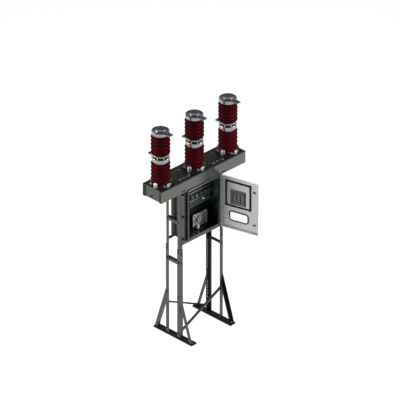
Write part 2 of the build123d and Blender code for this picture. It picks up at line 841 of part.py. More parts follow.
with BuildPart() as cabinet_hinges:
    for level in hinge_levels:
        low = door_bottom + level - hinge_leaf_length / 2 - hinge_end_gap - hinge_lug_length
        with BuildSketch(Plane.XY.offset(low)):
            with Locations((hinge_x, hinge_y)):
                Circle(hinge_pin_radius)
        extrude(amount=hinge_leaf_length + 2 * (hinge_end_gap + hinge_lug_length))
        for lug_low in (low, low + hinge_lug_length + hinge_leaf_length + 2 * hinge_end_gap):
            with BuildSketch(Plane.XY.offset(lug_low)):
                with Locations((hinge_x, hinge_y)):
                    Circle(hinge_barrel_radius)
                with Locations((cabinet_right, hinge_y)):
                    Rectangle(hinge_pin_offset, hinge_barrel_radius, align=(Align.MIN, Align.MIN))
            extrude(amount=hinge_lug_length)
save(cabinet_hinges.part, "cabinet_hinges")
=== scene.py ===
"""Detailed pieces, finishes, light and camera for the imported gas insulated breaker.

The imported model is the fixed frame. Each operator below models one group of pieces around it, or
in place of one of its plain nodes, and the stage operator sets the floor, light and camera.
"""

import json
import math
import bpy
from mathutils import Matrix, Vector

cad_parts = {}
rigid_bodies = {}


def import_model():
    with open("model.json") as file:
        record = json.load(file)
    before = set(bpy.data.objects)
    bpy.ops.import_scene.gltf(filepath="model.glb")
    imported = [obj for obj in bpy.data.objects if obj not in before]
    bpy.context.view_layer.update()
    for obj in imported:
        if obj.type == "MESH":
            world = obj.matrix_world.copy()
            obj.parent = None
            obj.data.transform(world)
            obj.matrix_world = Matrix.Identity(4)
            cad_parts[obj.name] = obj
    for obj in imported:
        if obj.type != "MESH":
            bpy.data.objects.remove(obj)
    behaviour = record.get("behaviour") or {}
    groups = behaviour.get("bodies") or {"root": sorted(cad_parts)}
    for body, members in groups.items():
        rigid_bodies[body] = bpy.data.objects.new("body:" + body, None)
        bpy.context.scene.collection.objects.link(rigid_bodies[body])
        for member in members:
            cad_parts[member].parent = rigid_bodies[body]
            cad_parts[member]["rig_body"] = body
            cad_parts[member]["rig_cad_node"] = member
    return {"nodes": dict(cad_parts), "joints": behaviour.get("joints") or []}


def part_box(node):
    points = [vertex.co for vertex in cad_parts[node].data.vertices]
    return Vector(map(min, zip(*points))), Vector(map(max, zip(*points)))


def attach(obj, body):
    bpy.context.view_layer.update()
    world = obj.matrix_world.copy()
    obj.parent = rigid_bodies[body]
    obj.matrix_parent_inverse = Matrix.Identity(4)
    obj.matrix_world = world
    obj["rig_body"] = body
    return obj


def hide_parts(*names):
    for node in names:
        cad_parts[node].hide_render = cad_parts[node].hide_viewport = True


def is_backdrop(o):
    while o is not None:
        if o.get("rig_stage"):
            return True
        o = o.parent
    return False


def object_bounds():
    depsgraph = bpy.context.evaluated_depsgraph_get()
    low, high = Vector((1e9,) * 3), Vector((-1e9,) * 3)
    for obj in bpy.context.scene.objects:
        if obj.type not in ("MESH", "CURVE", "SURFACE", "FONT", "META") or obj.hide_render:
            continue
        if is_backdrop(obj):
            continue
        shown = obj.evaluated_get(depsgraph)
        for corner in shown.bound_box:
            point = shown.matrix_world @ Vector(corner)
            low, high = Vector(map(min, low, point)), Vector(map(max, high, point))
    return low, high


bl_info = {
    "name": "Gas Insulated Breaker Detailing",
    "version": (1, 0, 0),
    "blender": (4, 5, 0),
    "location": "View3D > Sidebar > Breaker",
    "description": "Models the breaker's insulators, castings, fixings, cabinet and door in detail",
    "category": "Object",
}

import bmesh
import bpy
from bpy.props import FloatProperty, FloatVectorProperty, IntProperty, PointerProperty
from mathutils import Matrix, Vector

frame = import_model()
cad_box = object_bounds()
box = {name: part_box(name) for name in frame["nodes"]}
hinge = next(joint for joint in frame["joints"] if joint["name"] == "door_hinge")

MM = 0.001
UP = Vector((0, 0, 1))
FORWARD = Vector((0, -1, 0))
# Width of the slow clouds in every finish, in millimetres.
CLOUD = 312.5


def linear(code):
    """Turn an sRGB hex colour such as #646560 into linear red, green and blue."""
    parts = [int(code[i : i + 2], 16) / 255 for i in (1, 3, 5)]
    return tuple(p / 12.92 if p <= 0.04045 else ((p + 0.055) / 1.055) ** 2.4 for p in parts)


# ---- Sizes and colours that a user would change ----------------------------------------------


def length(name, description, millimetres):
    """A length property, given in millimetres."""
    return FloatProperty(
        name=name,
        description=description,
        default=millimetres * MM,
        min=0.0,
        unit="LENGTH",
        subtype="DISTANCE",
    )


def number(name, description, default, least=1):
    """A whole number property."""
    return IntProperty(name=name, description=description, default=default, min=least)


def colour(name, description, code):
    """A colour property, given as an sRGB hex value."""
    return FloatVectorProperty(
        name=name, description=description, default=linear(code), subtype="COLOR", min=0.0, max=1.0
    )


class BreakerSizes(bpy.types.PropertyGroup):
    """Sizes of the pieces that are added to the frame."""

    shed_radius: length("Shed radius", "Outer radius of the insulators' sheds", 142.0)
    core_radius: length("Core radius", "Radius of the insulators between the sheds", 96.0)
    shed_pitch: length("Shed pitch", "Height from one shed to the next", 61.0)
    lower_shed_offset: length("Lower shed offset", "Lowest shed above the lower foot", 4.0)
    upper_shed_offset: length("Upper shed offset", "Lowest shed above the upper foot", 28.0)
    lower_shed_count: number("Lower sheds", "Sheds on each lower insulator", 6)
    upper_shed_count: number("Upper sheds", "Sheds on each upper insulator", 5)
    round_sides: number("Round sides", "Flats round each insulator and casting", 72, 12)
    bolt_radius: length("Bolt head radius", "Corner radius of an M12 hexagon head", 10.4)
    bolt_height: length("Bolt head height", "Height of an M12 hexagon head", 7.5)
    hole_pitch: length("Leg hole pitch", "Height from one adjusting hole to the next", 50.0)
    hole_radius: length("Leg hole radius", "Radius of the legs' adjusting holes", 8.0)


class BreakerColours(bpy.types.PropertyGroup):
    """Main colours of the breaker's finishes."""

    steel: colour("Beam", "Coated sheet steel of the beam and cabinet", "#5c5d58")
    stand: colour("Stand", "Phosphated angle steel of the stand", "#4e4f4b")
    rubber: colour("Sheds", "Silicone rubber of the insulators", "#31070a")
    aluminium: colour("Castings", "Cast aluminium of the poles", "#9b989b")
    door: colour("Door", "Powder paint of the door", "#eeeeee")
    # Nearly black, as painted shade of the cabinet's inside.
    interior: colour("Interior", "Paint inside the cabinet", "#0b0f10")


# ---- Making materials --------------------------------------------------------------------------


def add_node(tree, kind, values=None, links=None, **settings):
    """Add one node with its settings, its sockets' values and the sockets that feed it."""
    node = tree.nodes.new(kind)
    for name, value in settings.items():
        setattr(node, name, value)
    for socket, value in (values or {}).items():
        node.inputs[socket].default_value = value
    for socket, source in (links or {}).items():
        tree.links.new(source, node.inputs[socket])
    return node


def shade(tint, factor=1.0):
    """A lighter or darker version of a linear colour or a hex code, with full alpha."""
    parts = linear(tint) if isinstance(tint, str) else tint[:3]
    return tuple(min(1.0, part * factor) for part in parts) + (1.0,)


def set_ramp(ramp, *stops):
    """Set the stops of a colour ramp, each a position and a colour."""
    for element, (position, shown) in zip(ramp.color_ramp.elements, stops):
        element.position = position
        element.color = shown


finishes = {}


def make_finish(
    name,
    tint,
    grain,
    spread,
    rough,
    metallic=0.0,
    relief=0.0,
    stretch=(1.0, 1.0, 1.0),
    second=None,
    **shader,
):
    """A surface whose colour, gloss and relief vary with a grain of a real size in millimetres.

    spread is how far the colour strays from its tint, second is the tint in the hollows, rough is
    the range of roughness, stretch draws the grain out along an axis, and relief is the grain's
    height in millimetres.
    """
    material = finishes[name] = bpy.data.materials.new(name)
    material.use_nodes = True
    tree = material.node_tree
    surface = tree.nodes["Principled BSDF"]
    place = add_node(tree, "ShaderNodeTexCoord").outputs["Object"]
    scale = [1.0 / share for share in stretch]
    drawn = add_node(tree, "ShaderNodeMapping", {"Scale": scale}, {"Vector": place}).outputs[0]
    fine, broad = (
        add_node(
            tree,
            "ShaderNodeTexNoise",
            {"Scale": 1.0 / (width * MM), "Detail": detail, "Roughness": roughness},
            {"Vector": source},
        ).outputs["Fac"]
        for width, detail, roughness, source in (
            (grain, 4.0, 0.6, drawn),
            (CLOUD, 3.0, 0.55, place),
        )
    )
    mixed = add_node(tree, "ShaderNodeMath", None, {0: fine, 1: broad}, operation="MULTIPLY")
    ramp = add_node(tree, "ShaderNodeValToRGB", None, {"Fac": mixed.outputs[0]})
    set_ramp(ramp, (0.12, shade(second or tint, 1.0 - spread)), (0.38, shade(tint, 1.0 + spread)))
    tree.links.new(ramp.outputs["Color"], surface.inputs["Base Color"])
    limits = {"From Min": 0.3, "From Max": 0.7, "To Min": rough[0], "To Max": rough[1]}
    gloss = add_node(tree, "ShaderNodeMapRange", limits, {"Value": fine})
    tree.links.new(gloss.outputs["Result"], surface.inputs["Roughness"])
    if relief:
        depth = {"Strength": 0.6, "Distance": relief * MM}
        bump = add_node(tree, "ShaderNodeBump", depth, {"Height": fine})
        tree.links.new(bump.outputs["Normal"], surface.inputs["Normal"])
    surface.inputs["Metallic"].default_value = metallic
    for socket, value in shader.items():
        surface.inputs[socket.replace("_", " ")].default_value = value
    return material


def line_inside(material, centre, low_colour, high_colour, level, blend=0.12):
    """Give the faces of a box that look at its centre their own paint, changing at a level."""
    tree = material.node_tree
    surface = tree.nodes["Principled BSDF"]
    normal = add_node(tree, "ShaderNodeNewGeometry").outputs["Normal"]
    place = add_node(tree, "ShaderNodeTexCoord").outputs["Object"]
    reach = add_node(tree, "ShaderNodeVectorMath", {1: centre}, {0: place}, operation="SUBTRACT")
    facing = add_node(
        tree,
        "ShaderNodeVectorMath",
        links={0: reach.outputs["Vector"], 1: normal},
        operation="DOT_PRODUCT",
    ).outputs["Value"]
    inside = add_node(tree, "ShaderNodeMath", {1: 0.0}, {0: facing}, operation="LESS_THAN")
    height = add_node(tree, "ShaderNodeSeparateXYZ", links={"Vector": place}).outputs["Z"]
    limits = {"From Min": level - blend, "From Max": level + blend}
    upper = add_node(tree, "ShaderNodeMapRange", limits, {"Value": height}).outputs["Result"]
    # A mix of colours takes its two colours at sockets 6 and 7, and gives the third output.
    paint = add_node(
        tree, "ShaderNodeMix", {6: low_colour, 7: high_colour}, {"Factor": upper}, data_type="RGBA"
    ).outputs[2]
    outer = surface.inputs["Base Color"].links[0].from_socket
    sides = {"Factor": inside.outputs[0], 6: outer, 7: paint}
    both = add_node(tree, "ShaderNodeMix", links=sides, data_type="RGBA").outputs[2]
    tree.links.new(both, surface.inputs["Base Color"])


def make_finishes(colours):
    """Every finish on the breaker, by the name of what the real surface is.

    Sand grain, pores and sprayed texture are finer on the real surfaces, and are drawn coarser
    here, so that they show.
    """
    # Hot-rolled sections, phosphated and sealed: a soft dark mirror with cloudy patches.
    make_finish("phosphated_steel", colours.stand, 9.0, 0.14, (0.24, 0.36), 0.85, 0.05)
    # The same coat on the right side's sections, darker as painted shade of that side of the stand.
    darker = shade(colours.stand, 0.5)
    make_finish("phosphate_painted_shade", darker, 9.0, 0.16, (0.26, 0.38), 0.85, 0.05)
    # Folded sheet of the beam, the same coat on a smoother sheet, so it mirrors the open door.
    make_finish("coated_sheet", colours.steel, 14.0, 0.08, (0.16, 0.24), 0.85, 0.02)
    # Black paint on the beam's lid, covers and pole plates: near-black as painted shade of these
    # upward faces, and shows dust in its hollows.
    make_finish("lid_paint_painted_shade", "#121112", 6.0, 0.25, (0.34, 0.5), 0.2, 0.06)
    # Near-black paint on the foot rails, side ties and rear diagonal, darker than the stand as
    # painted shade of their tops and inner faces, and slightly chalky.
    make_finish(
        "rail_black_painted_shade", "#0e0e0e", 7.0, 0.22, (0.38, 0.55), relief=0.1, Specular_IOR_Level=0.18
    )
    # Silicone rubber: satin, a little darker in patches where dust has washed off.
    make_finish(
        "silicone_rubber",
        colours.rubber,
        11.0,
        0.16,
        (0.34, 0.46),
        relief=0.06,
        Specular_IOR_Level=0.03,
    )
    # Sand-cast aluminium: bright, with the grain of the mould on it.
    make_finish("cast_aluminium", colours.aluminium, 2.6, 0.1, (0.2, 0.34), 1.0, 0.12)
    # Milled aluminium terminals: fine lines drawn out along the bar.
    along_bar = (1.0, 12.0, 1.0)
    make_finish("milled_aluminium", "#8e8c8c", 1.4, 0.1, (0.22, 0.36), 1.0, 0.02, along_bar)
    # Zinc-plated bolts: bright with a faint bluish cast.
    make_finish("zinc_plate", "#c4c8cb", 3.0, 0.1, (0.16, 0.3), 1.0)
    # Blackened bolts, oiled: dark, with a soft sheen on their corners.
    make_finish("black_oxide", "#17181a", 4.0, 0.2, (0.3, 0.42), 0.4)
    # Pale powder paint on the door: satin, with an orange-peel skin.
    make_finish("pale_door_paint", colours.door, 3.0, 0.05, (0.36, 0.46), 0.15, 0.03)
    # Foam rubber gasket: dull black with pores.
    make_finish(
        "foam_gasket", "#1b1c1e", 2.2, 0.25, (0.62, 0.8), relief=0.25, Specular_IOR_Level=0.3
    )
    # Toughened glass: clear, so the light behind it shows through, with a faint green cast.
    make_finish(
        "toughened_glass", "#eceeed", 40.0, 0.01, (0.01, 0.03), Transmission_Weight=1.0, IOR=1.5
    )
    # Paint of the mounting plate and mechanism box: nearly black as painted shade of the cabinet's
    # inside, with an orange-peel skin.
    make_finish(
        "interior_painted_shade",
        colours.interior,
        3.5,
        0.15,
        (0.35, 0.48),
        relief=0.05,
        Specular_IOR_Level=0.12,
    )
    # Cabinet sheet: the beam's dark mirror outside, a green-grey paint high up inside it, and a
    # plainer grey below the terminal blocks.
    make_finish("cabinet_sheet", colours.stand, 12.0, 0.1, (0.2, 0.32), 0.85, 0.02)
    line_inside(
        finishes["cabinet_sheet"],
        middle_of("cabinet_sides"),
        shade("#525354"),
        shade("#80a9a1"),
        box["terminal_rows"][0].z,
    )
    # Dark paint of the ribbed duct down the cabinet's left wall: dull, with a faint sheen.
    make_finish("duct_paint", "#2c2c2b", 5.0, 0.2, (0.4, 0.55), 0.2, 0.05)
    # Hot-dip galvanised casting: light grey with broad, uneven patches of duller zinc.
    make_finish(
        "galvanised_casting", "#c4c5c8", 16.0, 0.25, (0.3, 0.5), 0.35, 0.1, second="#6c6d70"
    )
    # Opal glass of the signal lamp, faintly lit from behind.
    make_finish(
        "lamp_glass",
        "#f4f6f8",
        6.0,
        0.04,
        (0.1, 0.2),
        Emission_Color=(0.85, 0.92, 1.0, 1.0),
        Emission_Strength=0.4,
    )
    # Moulded relay cases: satin plastic in grey green.
    make_finish("relay_plastic", "#2b3634", 1.8, 0.08, (0.38, 0.5), relief=0.03)
    # Moulded wiring ducts and dials: the same satin, paler, so that they stand off the cases.
    make_finish("pale_plastic", "#50595a", 1.8, 0.06, (0.36, 0.48), relief=0.03)
    # Moulded black knobs, plugs and windows: satin black.
    make_finish("black_plastic", "#17191b", 1.8, 0.15, (0.34, 0.46), relief=0.03)
    # Rough-cast bearing plate of the mechanism: mottled light grey.
    make_finish("cast_plate", "#f6f6f5", 14.0, 0.36, (0.3, 0.5), relief=0.8, second="#c2c3c5")
    # Turned steel of shafts, wheel rims and springs: bright, with a fine lathe grain.
    make_finish("turned_steel", "#c9c9c7", 2.0, 0.1, (0.16, 0.28), 1.0)
    # Smooth paint of the bars in the slots: paler than the panel, with a faint sheen.
    make_finish("bar_paint", "#b5b4a6", 2.4, 0.08, (0.35, 0.5), relief=0.03)
    # Grey-green textured paint of the slotted panel: dull and slightly rough.
    make_finish("texture_paint", "#6b6e65", 2.4, 0.14, (0.45, 0.6), relief=0.12)


# ---- Measuring helpers ---------------------------------------------------------------------------


def middle_of(node):
    """The middle of a node's box."""
    return (box[node][0] + box[node][1]) / 2


def span_of(node):
    """The size of a node's box."""
    return box[node][1] - box[node][0]


def pole_places():
    """The three poles' places along X."""
    reach = span_of("pole_bases").x / 2 - box["pole_bases"][1].y
    return (-reach, 0.0, reach)


def upright(left, right, bottom, top, level, grow=0.0):
    """The corners of a rectangle that stands across Y, as plate and ring_frame take them."""
    return (
        Vector(((left + right) / 2, level, (bottom + top) / 2)),
        ((right - left) / 2 + grow, 0, 0),
        (0, 0, (top - bottom) / 2 + grow),
    )


def spins(count, offset=0.0):
    """The turns about Z that share a circle out evenly, the first one offset by part of a step."""
    return [Matrix.Rotation(math.tau * (step + offset) / count, 4, "Z") for step in range(count)]


def aim(point, direction, size=1.0):
    """The matrix that stands an upright piece on a point, along a direction."""
    turn = Vector(direction).to_track_quat("Z", "Y").to_matrix().to_4x4()
    return Matrix.Translation(Vector(point)) @ turn @ Matrix.Scale(size, 4)


# ---- Modelling helpers ---------------------------------------------------------------------------


def select_none():
    """Deselect everything, so that the next operator acts on nothing old."""
    bpy.ops.object.select_all(action="DESELECT")


def select_only(obj):
    """Make one object the whole selection."""
    select_none()
    obj.hide_set(False)
    obj.select_set(True)
    bpy.context.view_layer.objects.active = obj


def freeze(obj, placing=None):
    """Put an object's place, turn and size into its mesh, after placing it by a matrix."""
    if placing is not None:
        obj.matrix_world = placing @ obj.matrix_world
    select_only(obj)
    bpy.ops.object.transform_apply(location=True, rotation=True, scale=True)
    return obj


def edit(obj):
    """Go into edit mode on one object with all of it selected."""
    select_only(obj)
    bpy.ops.object.mode_set(mode="EDIT")
    bpy.ops.mesh.select_mode(type="FACE")
    bpy.ops.mesh.select_all(action="SELECT")


def leave():
    """Come back to object mode."""
    bpy.ops.object.mode_set(mode="OBJECT")


def close_up(obj, placing=None):
    """Turn the edited faces outward, come back to object mode and put the piece in its place."""
    bpy.ops.mesh.select_all(action="SELECT")
    bpy.ops.mesh.normals_make_consistent(inside=False)
    leave()
    return freeze(obj, placing)


def grow_along(shift):
    """Extrude what is selected."""
    bpy.ops.mesh.extrude_region_move(TRANSFORM_OT_translate={"value": shift})


def pick_faces(obj, test):
    """In edit mode, select just the faces whose middle and normal pass a test."""
    bpy.ops.mesh.select_mode(type="FACE")
    bpy.ops.mesh.select_all(action="DESELECT")
    mesh = bmesh.from_edit_mesh(obj.data)
    for face in mesh.faces:
        face.select_set(bool(test(face.calc_center_median(), face.normal)))
    bmesh.update_edit_mesh(obj.data)


def pick_edges(obj, test):
    """In edit mode, select just the edges that pass a test."""
    bpy.ops.mesh.select_mode(type="EDGE")
    bpy.ops.mesh.select_all(action="DESELECT")
    mesh = bmesh.from_edit_mesh(obj.data)
    for edge in mesh.edges:
        edge.select_set(bool(test(edge)))
    bmesh.update_edit_mesh(obj.data)


def round_edges(obj, test, radius, segments=3):
    """Round the edges whose two ends pass a test."""
    edit(obj)
    pick_edges(obj, lambda edge: test(*(vertex.co for vertex in edge.verts)))
    bpy.ops.mesh.bevel(offset=radius, segments=segments, affect="EDGES")
    leave()
    return obj


def push_end(obj, test, shift):
    """Move the faces whose middle and normal pass a test, so the piece tapers or leans."""
    edit(obj)
    pick_faces(obj, test)
    bpy.ops.transform.translate(value=shift)
    leave()
    return obj


def step_front(obj, front, border, depth):
    """Give a piece's front a border, and push what is inside it along Y."""
    edit(obj)
    pick_faces(obj, lambda middle, normal: normal.y < -0.9 and middle.y < front)
    bpy.ops.mesh.inset(thickness=border)
    grow_along((0, depth, 0))
    leave()
    return obj


def block(centre, size, bevel=1.5, segments=2):
    """A rectangular piece with its edges rounded over. The bevel is in millimetres."""
    select_none()
    bpy.ops.mesh.primitive_cube_add(size=1.0, location=centre)
    obj = bpy.context.active_object
    obj.scale = size
    edit(freeze(obj))
    bpy.ops.mesh.bevel(offset=bevel * MM, segments=segments, affect="EDGES")
    leave()
    return obj


def draw_sheet(corners, radius, segments):
    """Open a flat rectangle with round corners in edit mode, and give the matrix that places it.

    corners are the middle, the half-width vector and the half-height vector.
    """
    middle, across, along = (Vector(c) for c in corners)
    normal = across.cross(along).normalized()
    turn = Matrix((across.normalized(), along.normalized(), normal)).transposed().to_4x4()
    select_none()
    bpy.ops.mesh.primitive_plane_add(size=2.0)
    obj = bpy.context.active_object
    obj.scale = (across.length, along.length, 1.0)
    edit(freeze(obj))
    bpy.ops.mesh.bevel(offset=radius * MM, segments=segments, affect="VERTICES")
    bpy.ops.mesh.select_all(action="SELECT")
    return obj, Matrix.Translation(middle) @ turn


def plate(corners, thickness, radius, bevel=1.0, segments=6):
    """A plate drawn as a rectangle with round corners, grown along its normal."""
    obj, placing = draw_sheet(corners, radius, segments)
    grow_along((0, 0, thickness))
    if bevel:
        pick_faces(obj, lambda middle, normal: normal.z > 0.9)
        bpy.ops.mesh.bevel(offset=bevel * MM, segments=2, affect="EDGES")
    return close_up(obj, placing)


def ring_frame(corners, width, rise, radius, bevel=1.0):
    """A strip that runs round a rectangle with round corners, such as a gasket."""
    obj, placing = draw_sheet(corners, radius, 8)
    bpy.ops.mesh.inset(thickness=width)
    bpy.ops.mesh.delete(type="FACE")
    bpy.ops.mesh.select_all(action="SELECT")
    grow_along((0, 0, rise))

    def is_rim(edge):
        upright_faces = [face for face in edge.link_faces if abs(face.normal.z) < 0.5]
        return all(v.co.z > rise - 1e-6 for v in edge.verts) and len(upright_faces) == 1

    pick_edges(obj, is_rim)
    bpy.ops.mesh.bevel(offset=bevel * MM, segments=3, affect="EDGES")
    return close_up(obj, placing)


def turned(profile, sides, foot=0.0):
    """A round upright piece grown ring by ring from its foot, as radius and height pairs."""
    radius, height = profile[0]
    select_none()
    bpy.ops.mesh.primitive_circle_add(
        vertices=sides, radius=radius, fill_type="NGON", location=(0, 0, foot + height)
    )
    obj = freeze(bpy.context.active_object)
    edit(obj)
    for next_radius, next_height in profile[1:]:
        grow_along((0, 0, next_height - height))
        grow = next_radius / radius
        bpy.ops.transform.resize(
            value=(grow, grow, 1.0), center_override=(0, 0, foot + next_height)
        )
        radius, height = next_radius, next_height
    return close_up(obj)


def rod(start, end, radius, sides=16, bevel=0.0):
    """A round bar from one point to another, with its ends chamfered in millimetres."""
    start, end = Vector(start), Vector(end)
    run = end - start
    half = run.length / 2
    select_none()
    bpy.ops.mesh.primitive_cylinder_add(
        vertices=sides, radius=radius, depth=run.length, location=(0, 0, 0)
    )
    obj = bpy.context.active_object

    def at_end(a, b):
        return abs(a.z - b.z) < 1e-6 and abs(abs(a.z) - half) < 1e-5

    if bevel:
        round_edges(obj, at_end, bevel * MM, 2)
    return freeze(obj, aim((start + end) / 2, run))


def gather(objects):
    """Join objects into the first of them."""
    if len(objects) > 1:
        select_none()
        for obj in objects:
            obj.select_set(True)
        bpy.context.view_layer.objects.active = objects[0]
        bpy.ops.object.join()
    return objects[0]


def cut(obj, cutters):
    """Cut holes through a piece, and take the cutters away."""
    tool = gather(cutters)
    select_only(obj)
    bpy.ops.object.modifier_add(type="BOOLEAN")
    modifier = obj.modifiers[-1]
    modifier.operation = "DIFFERENCE"
    modifier.solver = "EXACT"
    modifier.object = tool
    bpy.ops.object.modifier_apply(modifier=modifier.name)
    bpy.data.objects.remove(tool)
    return obj


def twin(obj, placing):
    """A copy of a piece with its own mesh, placed by a matrix."""
    copy = obj.copy()
    copy.data = obj.data.copy()
    bpy.context.scene.collection.objects.link(copy)
    copy.matrix_world = placing @ copy.matrix_world
    return copy


def cluster(template, placings):
    """Copies of a template at each placing, joined."""
    return gather([twin(template, placing) for placing in placings])


def hex_bolt():
    """A hexagon head on its washer, standing on the origin along +Z."""
    sizes = bpy.context.scene.breaker_sizes
    head_low = 0.0022
    top = head_low + sizes.bolt_height
    select_none()
    bpy.ops.mesh.primitive_cylinder_add(
        vertices=6,
        radius=sizes.bolt_radius,
        depth=sizes.bolt_height,
        location=(0, 0, head_low + sizes.bolt_height / 2),
    )
    head = freeze(bpy.context.active_object)
    edit(head)
    pick_faces(head, lambda middle, normal: normal.z > 0.9)
    bpy.ops.mesh.inset(thickness=0.0012)
    bpy.ops.transform.translate(value=(0, 0, 0.0009))
    leave()
    rim = sizes.bolt_radius * 1.28
    washer = turned(((rim, 0.0), (rim, 0.0016), (0.011, head_low)), 16)
    stud = rod((0, 0, top), (0, 0, top + 0.004), 0.0056, 10, 0.6)
    return gather((head, washer, stud))


def pan_screw():
    """A low round screw head without its recess, standing on the origin along +Z."""
    return turned(((0.0072, 0.0), (0.0072, 0.0012), (0.0058, 0.0032), (0.003, 0.0042)), 14)


def settle(obj, name, finish, smooth=30.0, body="frame"):
    """Name a finished piece, give it its finish, smooth its curves and hang it on its body."""
    freeze(obj)
    obj.name = name
    obj.data.name = name
    obj.data.materials.clear()
    obj.data.materials.append(finishes[finish])
    if smooth:
        bpy.ops.object.shade_smooth_by_angle(angle=math.radians(smooth))
    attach(obj, body)
    return obj


def scatter(template, placings, name, finish):
    """Copies of a template at each placing, as one finished piece."""
    return settle(cluster(template, placings), name, finish)


def on_each_pole(template, name, finish, smooth=30.0, node=None):
    """A copy of a template on each pole, in place of a CAD node where one is named."""
    for letter, x in zip("abc", pole_places()):
        piece = twin(template, Matrix.Translation((x, 0, 0)))
        settle(piece, f"{name}_{letter}", finish, smooth)
        if node:
            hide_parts(node)
    drop(template)


def drop(*objects):
    """Take template objects away."""
    for obj in objects:
        bpy.data.objects.remove(obj)


def merged_copy(node):
    """A copy of a CAD node with its loose triangles merged, free to be worked on."""
    obj = frame["nodes"][node].copy()
    obj.data = obj.data.copy()
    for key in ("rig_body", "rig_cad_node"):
        if key in obj:
            del obj[key]
    obj.parent = None
    bpy.context.scene.collection.objects.link(obj)
    edit(obj)
    bpy.ops.mesh.remove_doubles(threshold=1e-5)
    leave()
    if obj.data.has_custom_normals:
        bpy.ops.mesh.customdata_custom_splitnormals_clear()
    return obj


# ---- Operators: one for each group of pieces -----------------------------------------------------


class BREAKER_OT_finishes(bpy.types.Operator):
    """Make the finishes and put them on the frame's own nodes"""

    bl_idname = "breaker.finishes"
    bl_label = "Finishes"

    def execute(self, context):
        make_finishes(context.scene.breaker_colours)
        worn = {
            "phosphated_steel": (
                "lower_legs_left", "upper_legs_left", "knee_braces_left", "diagonal_front",
                "shelf_angles", "cabinet_straps", "beam_end_plates",
            ),
            # The right side's sections: the stand's coat darkened as painted shade.
            "phosphate_painted_shade": ("lower_legs_right", "upper_legs_right", "knee_braces_right"),
            "coated_sheet": (
                "beam_front_channel", "beam_rear_channel", "beam_bottom_plate", "door_hinge_leaves",
            ),
            # The lid and covers: near-black as painted shade of their upward faces.
            "lid_paint_painted_shade": ("beam_top_plate", "inspection_covers"),
            # Rails, ties and rear diagonal: near-black as painted shade of their tops and inner
            # faces.
            "rail_black_painted_shade": (
                "foot_rails", "side_ties_left", "side_ties_right", "diagonal_rear",
            ),
            "silicone_rubber": ("lower_insulators", "upper_insulators"),
            "cast_aluminium": ("pole_bases", "pole_housings", "pole_caps"),
            "cabinet_sheet": ("cabinet_back", "cabinet_sides", "cabinet_floor", "cabinet_roof"),
            # Nearly black, as painted shade of the cabinet's inside.
            "interior_painted_shade": ("mounting_plate", "mechanism_box"),
            "relay_plastic": ("terminal_rows",),
            "cast_plate": ("mechanism_plate",),
            "turned_steel": ("charging_wheel", "closing_spring"),
            "black_plastic": ("charging_motor",),
            "pale_door_paint": ("door_panel",),
            "foam_gasket": ("door_gaskets",),
            "toughened_glass": ("window_pane",),
            "texture_paint": ("slotted_panel",),
            "black_oxide": ("door_latches", "cabinet_hinges"),
        }
        for finish, nodes in worn.items():
            for node in nodes:
                mesh = frame["nodes"][node].data
                mesh.materials.clear()
                mesh.materials.append(finishes[finish])
        return {"FINISHED"}


class BREAKER_OT_insulators(bpy.types.Operator):
    """Model the silicone insulators with thin round-edged sheds"""

    bl_idname = "breaker.insulators"
    bl_label = "Insulators"

    def execute(self, context):
        sizes = context.scene.breaker_sizes
        core, rim = sizes.core_radius, sizes.shed_radius
        # One shed from its underside to its top, as radius and height above its foot.
        shed = (
            (core, -0.004), (core + 0.005, 0.0035), (rim - 0.006, 0.0014), (rim - 0.0028, 0.0),
            (rim - 0.0006, 0.0012), (rim, 0.003), (rim - 0.0008, 0.0048), (rim - 0.0034, 0.0062),
            (core + 0.014, 0.0122), (core + 0.004, 0.0152), (core, 0.0202),
        )
        for node, offset, count in (
            ("lower_insulators", sizes.lower_shed_offset, sizes.lower_shed_count),
            ("upper_insulators", sizes.upper_shed_offset, sizes.upper_shed_count),
        ):
            low, high = box[node][0].z, box[node][1].z
            profile = [(core, low)]
            for level in range(count):
                foot = low + offset + level * sizes.shed_pitch
                profile += [(radius, foot + rise) for radius, rise in shed]
            profile.append((core, high))
            made = turned(profile, sizes.round_sides)
            on_each_pole(made, node[:-1], "silicone_rubber", 50.0, node)
        return {"FINISHED"}


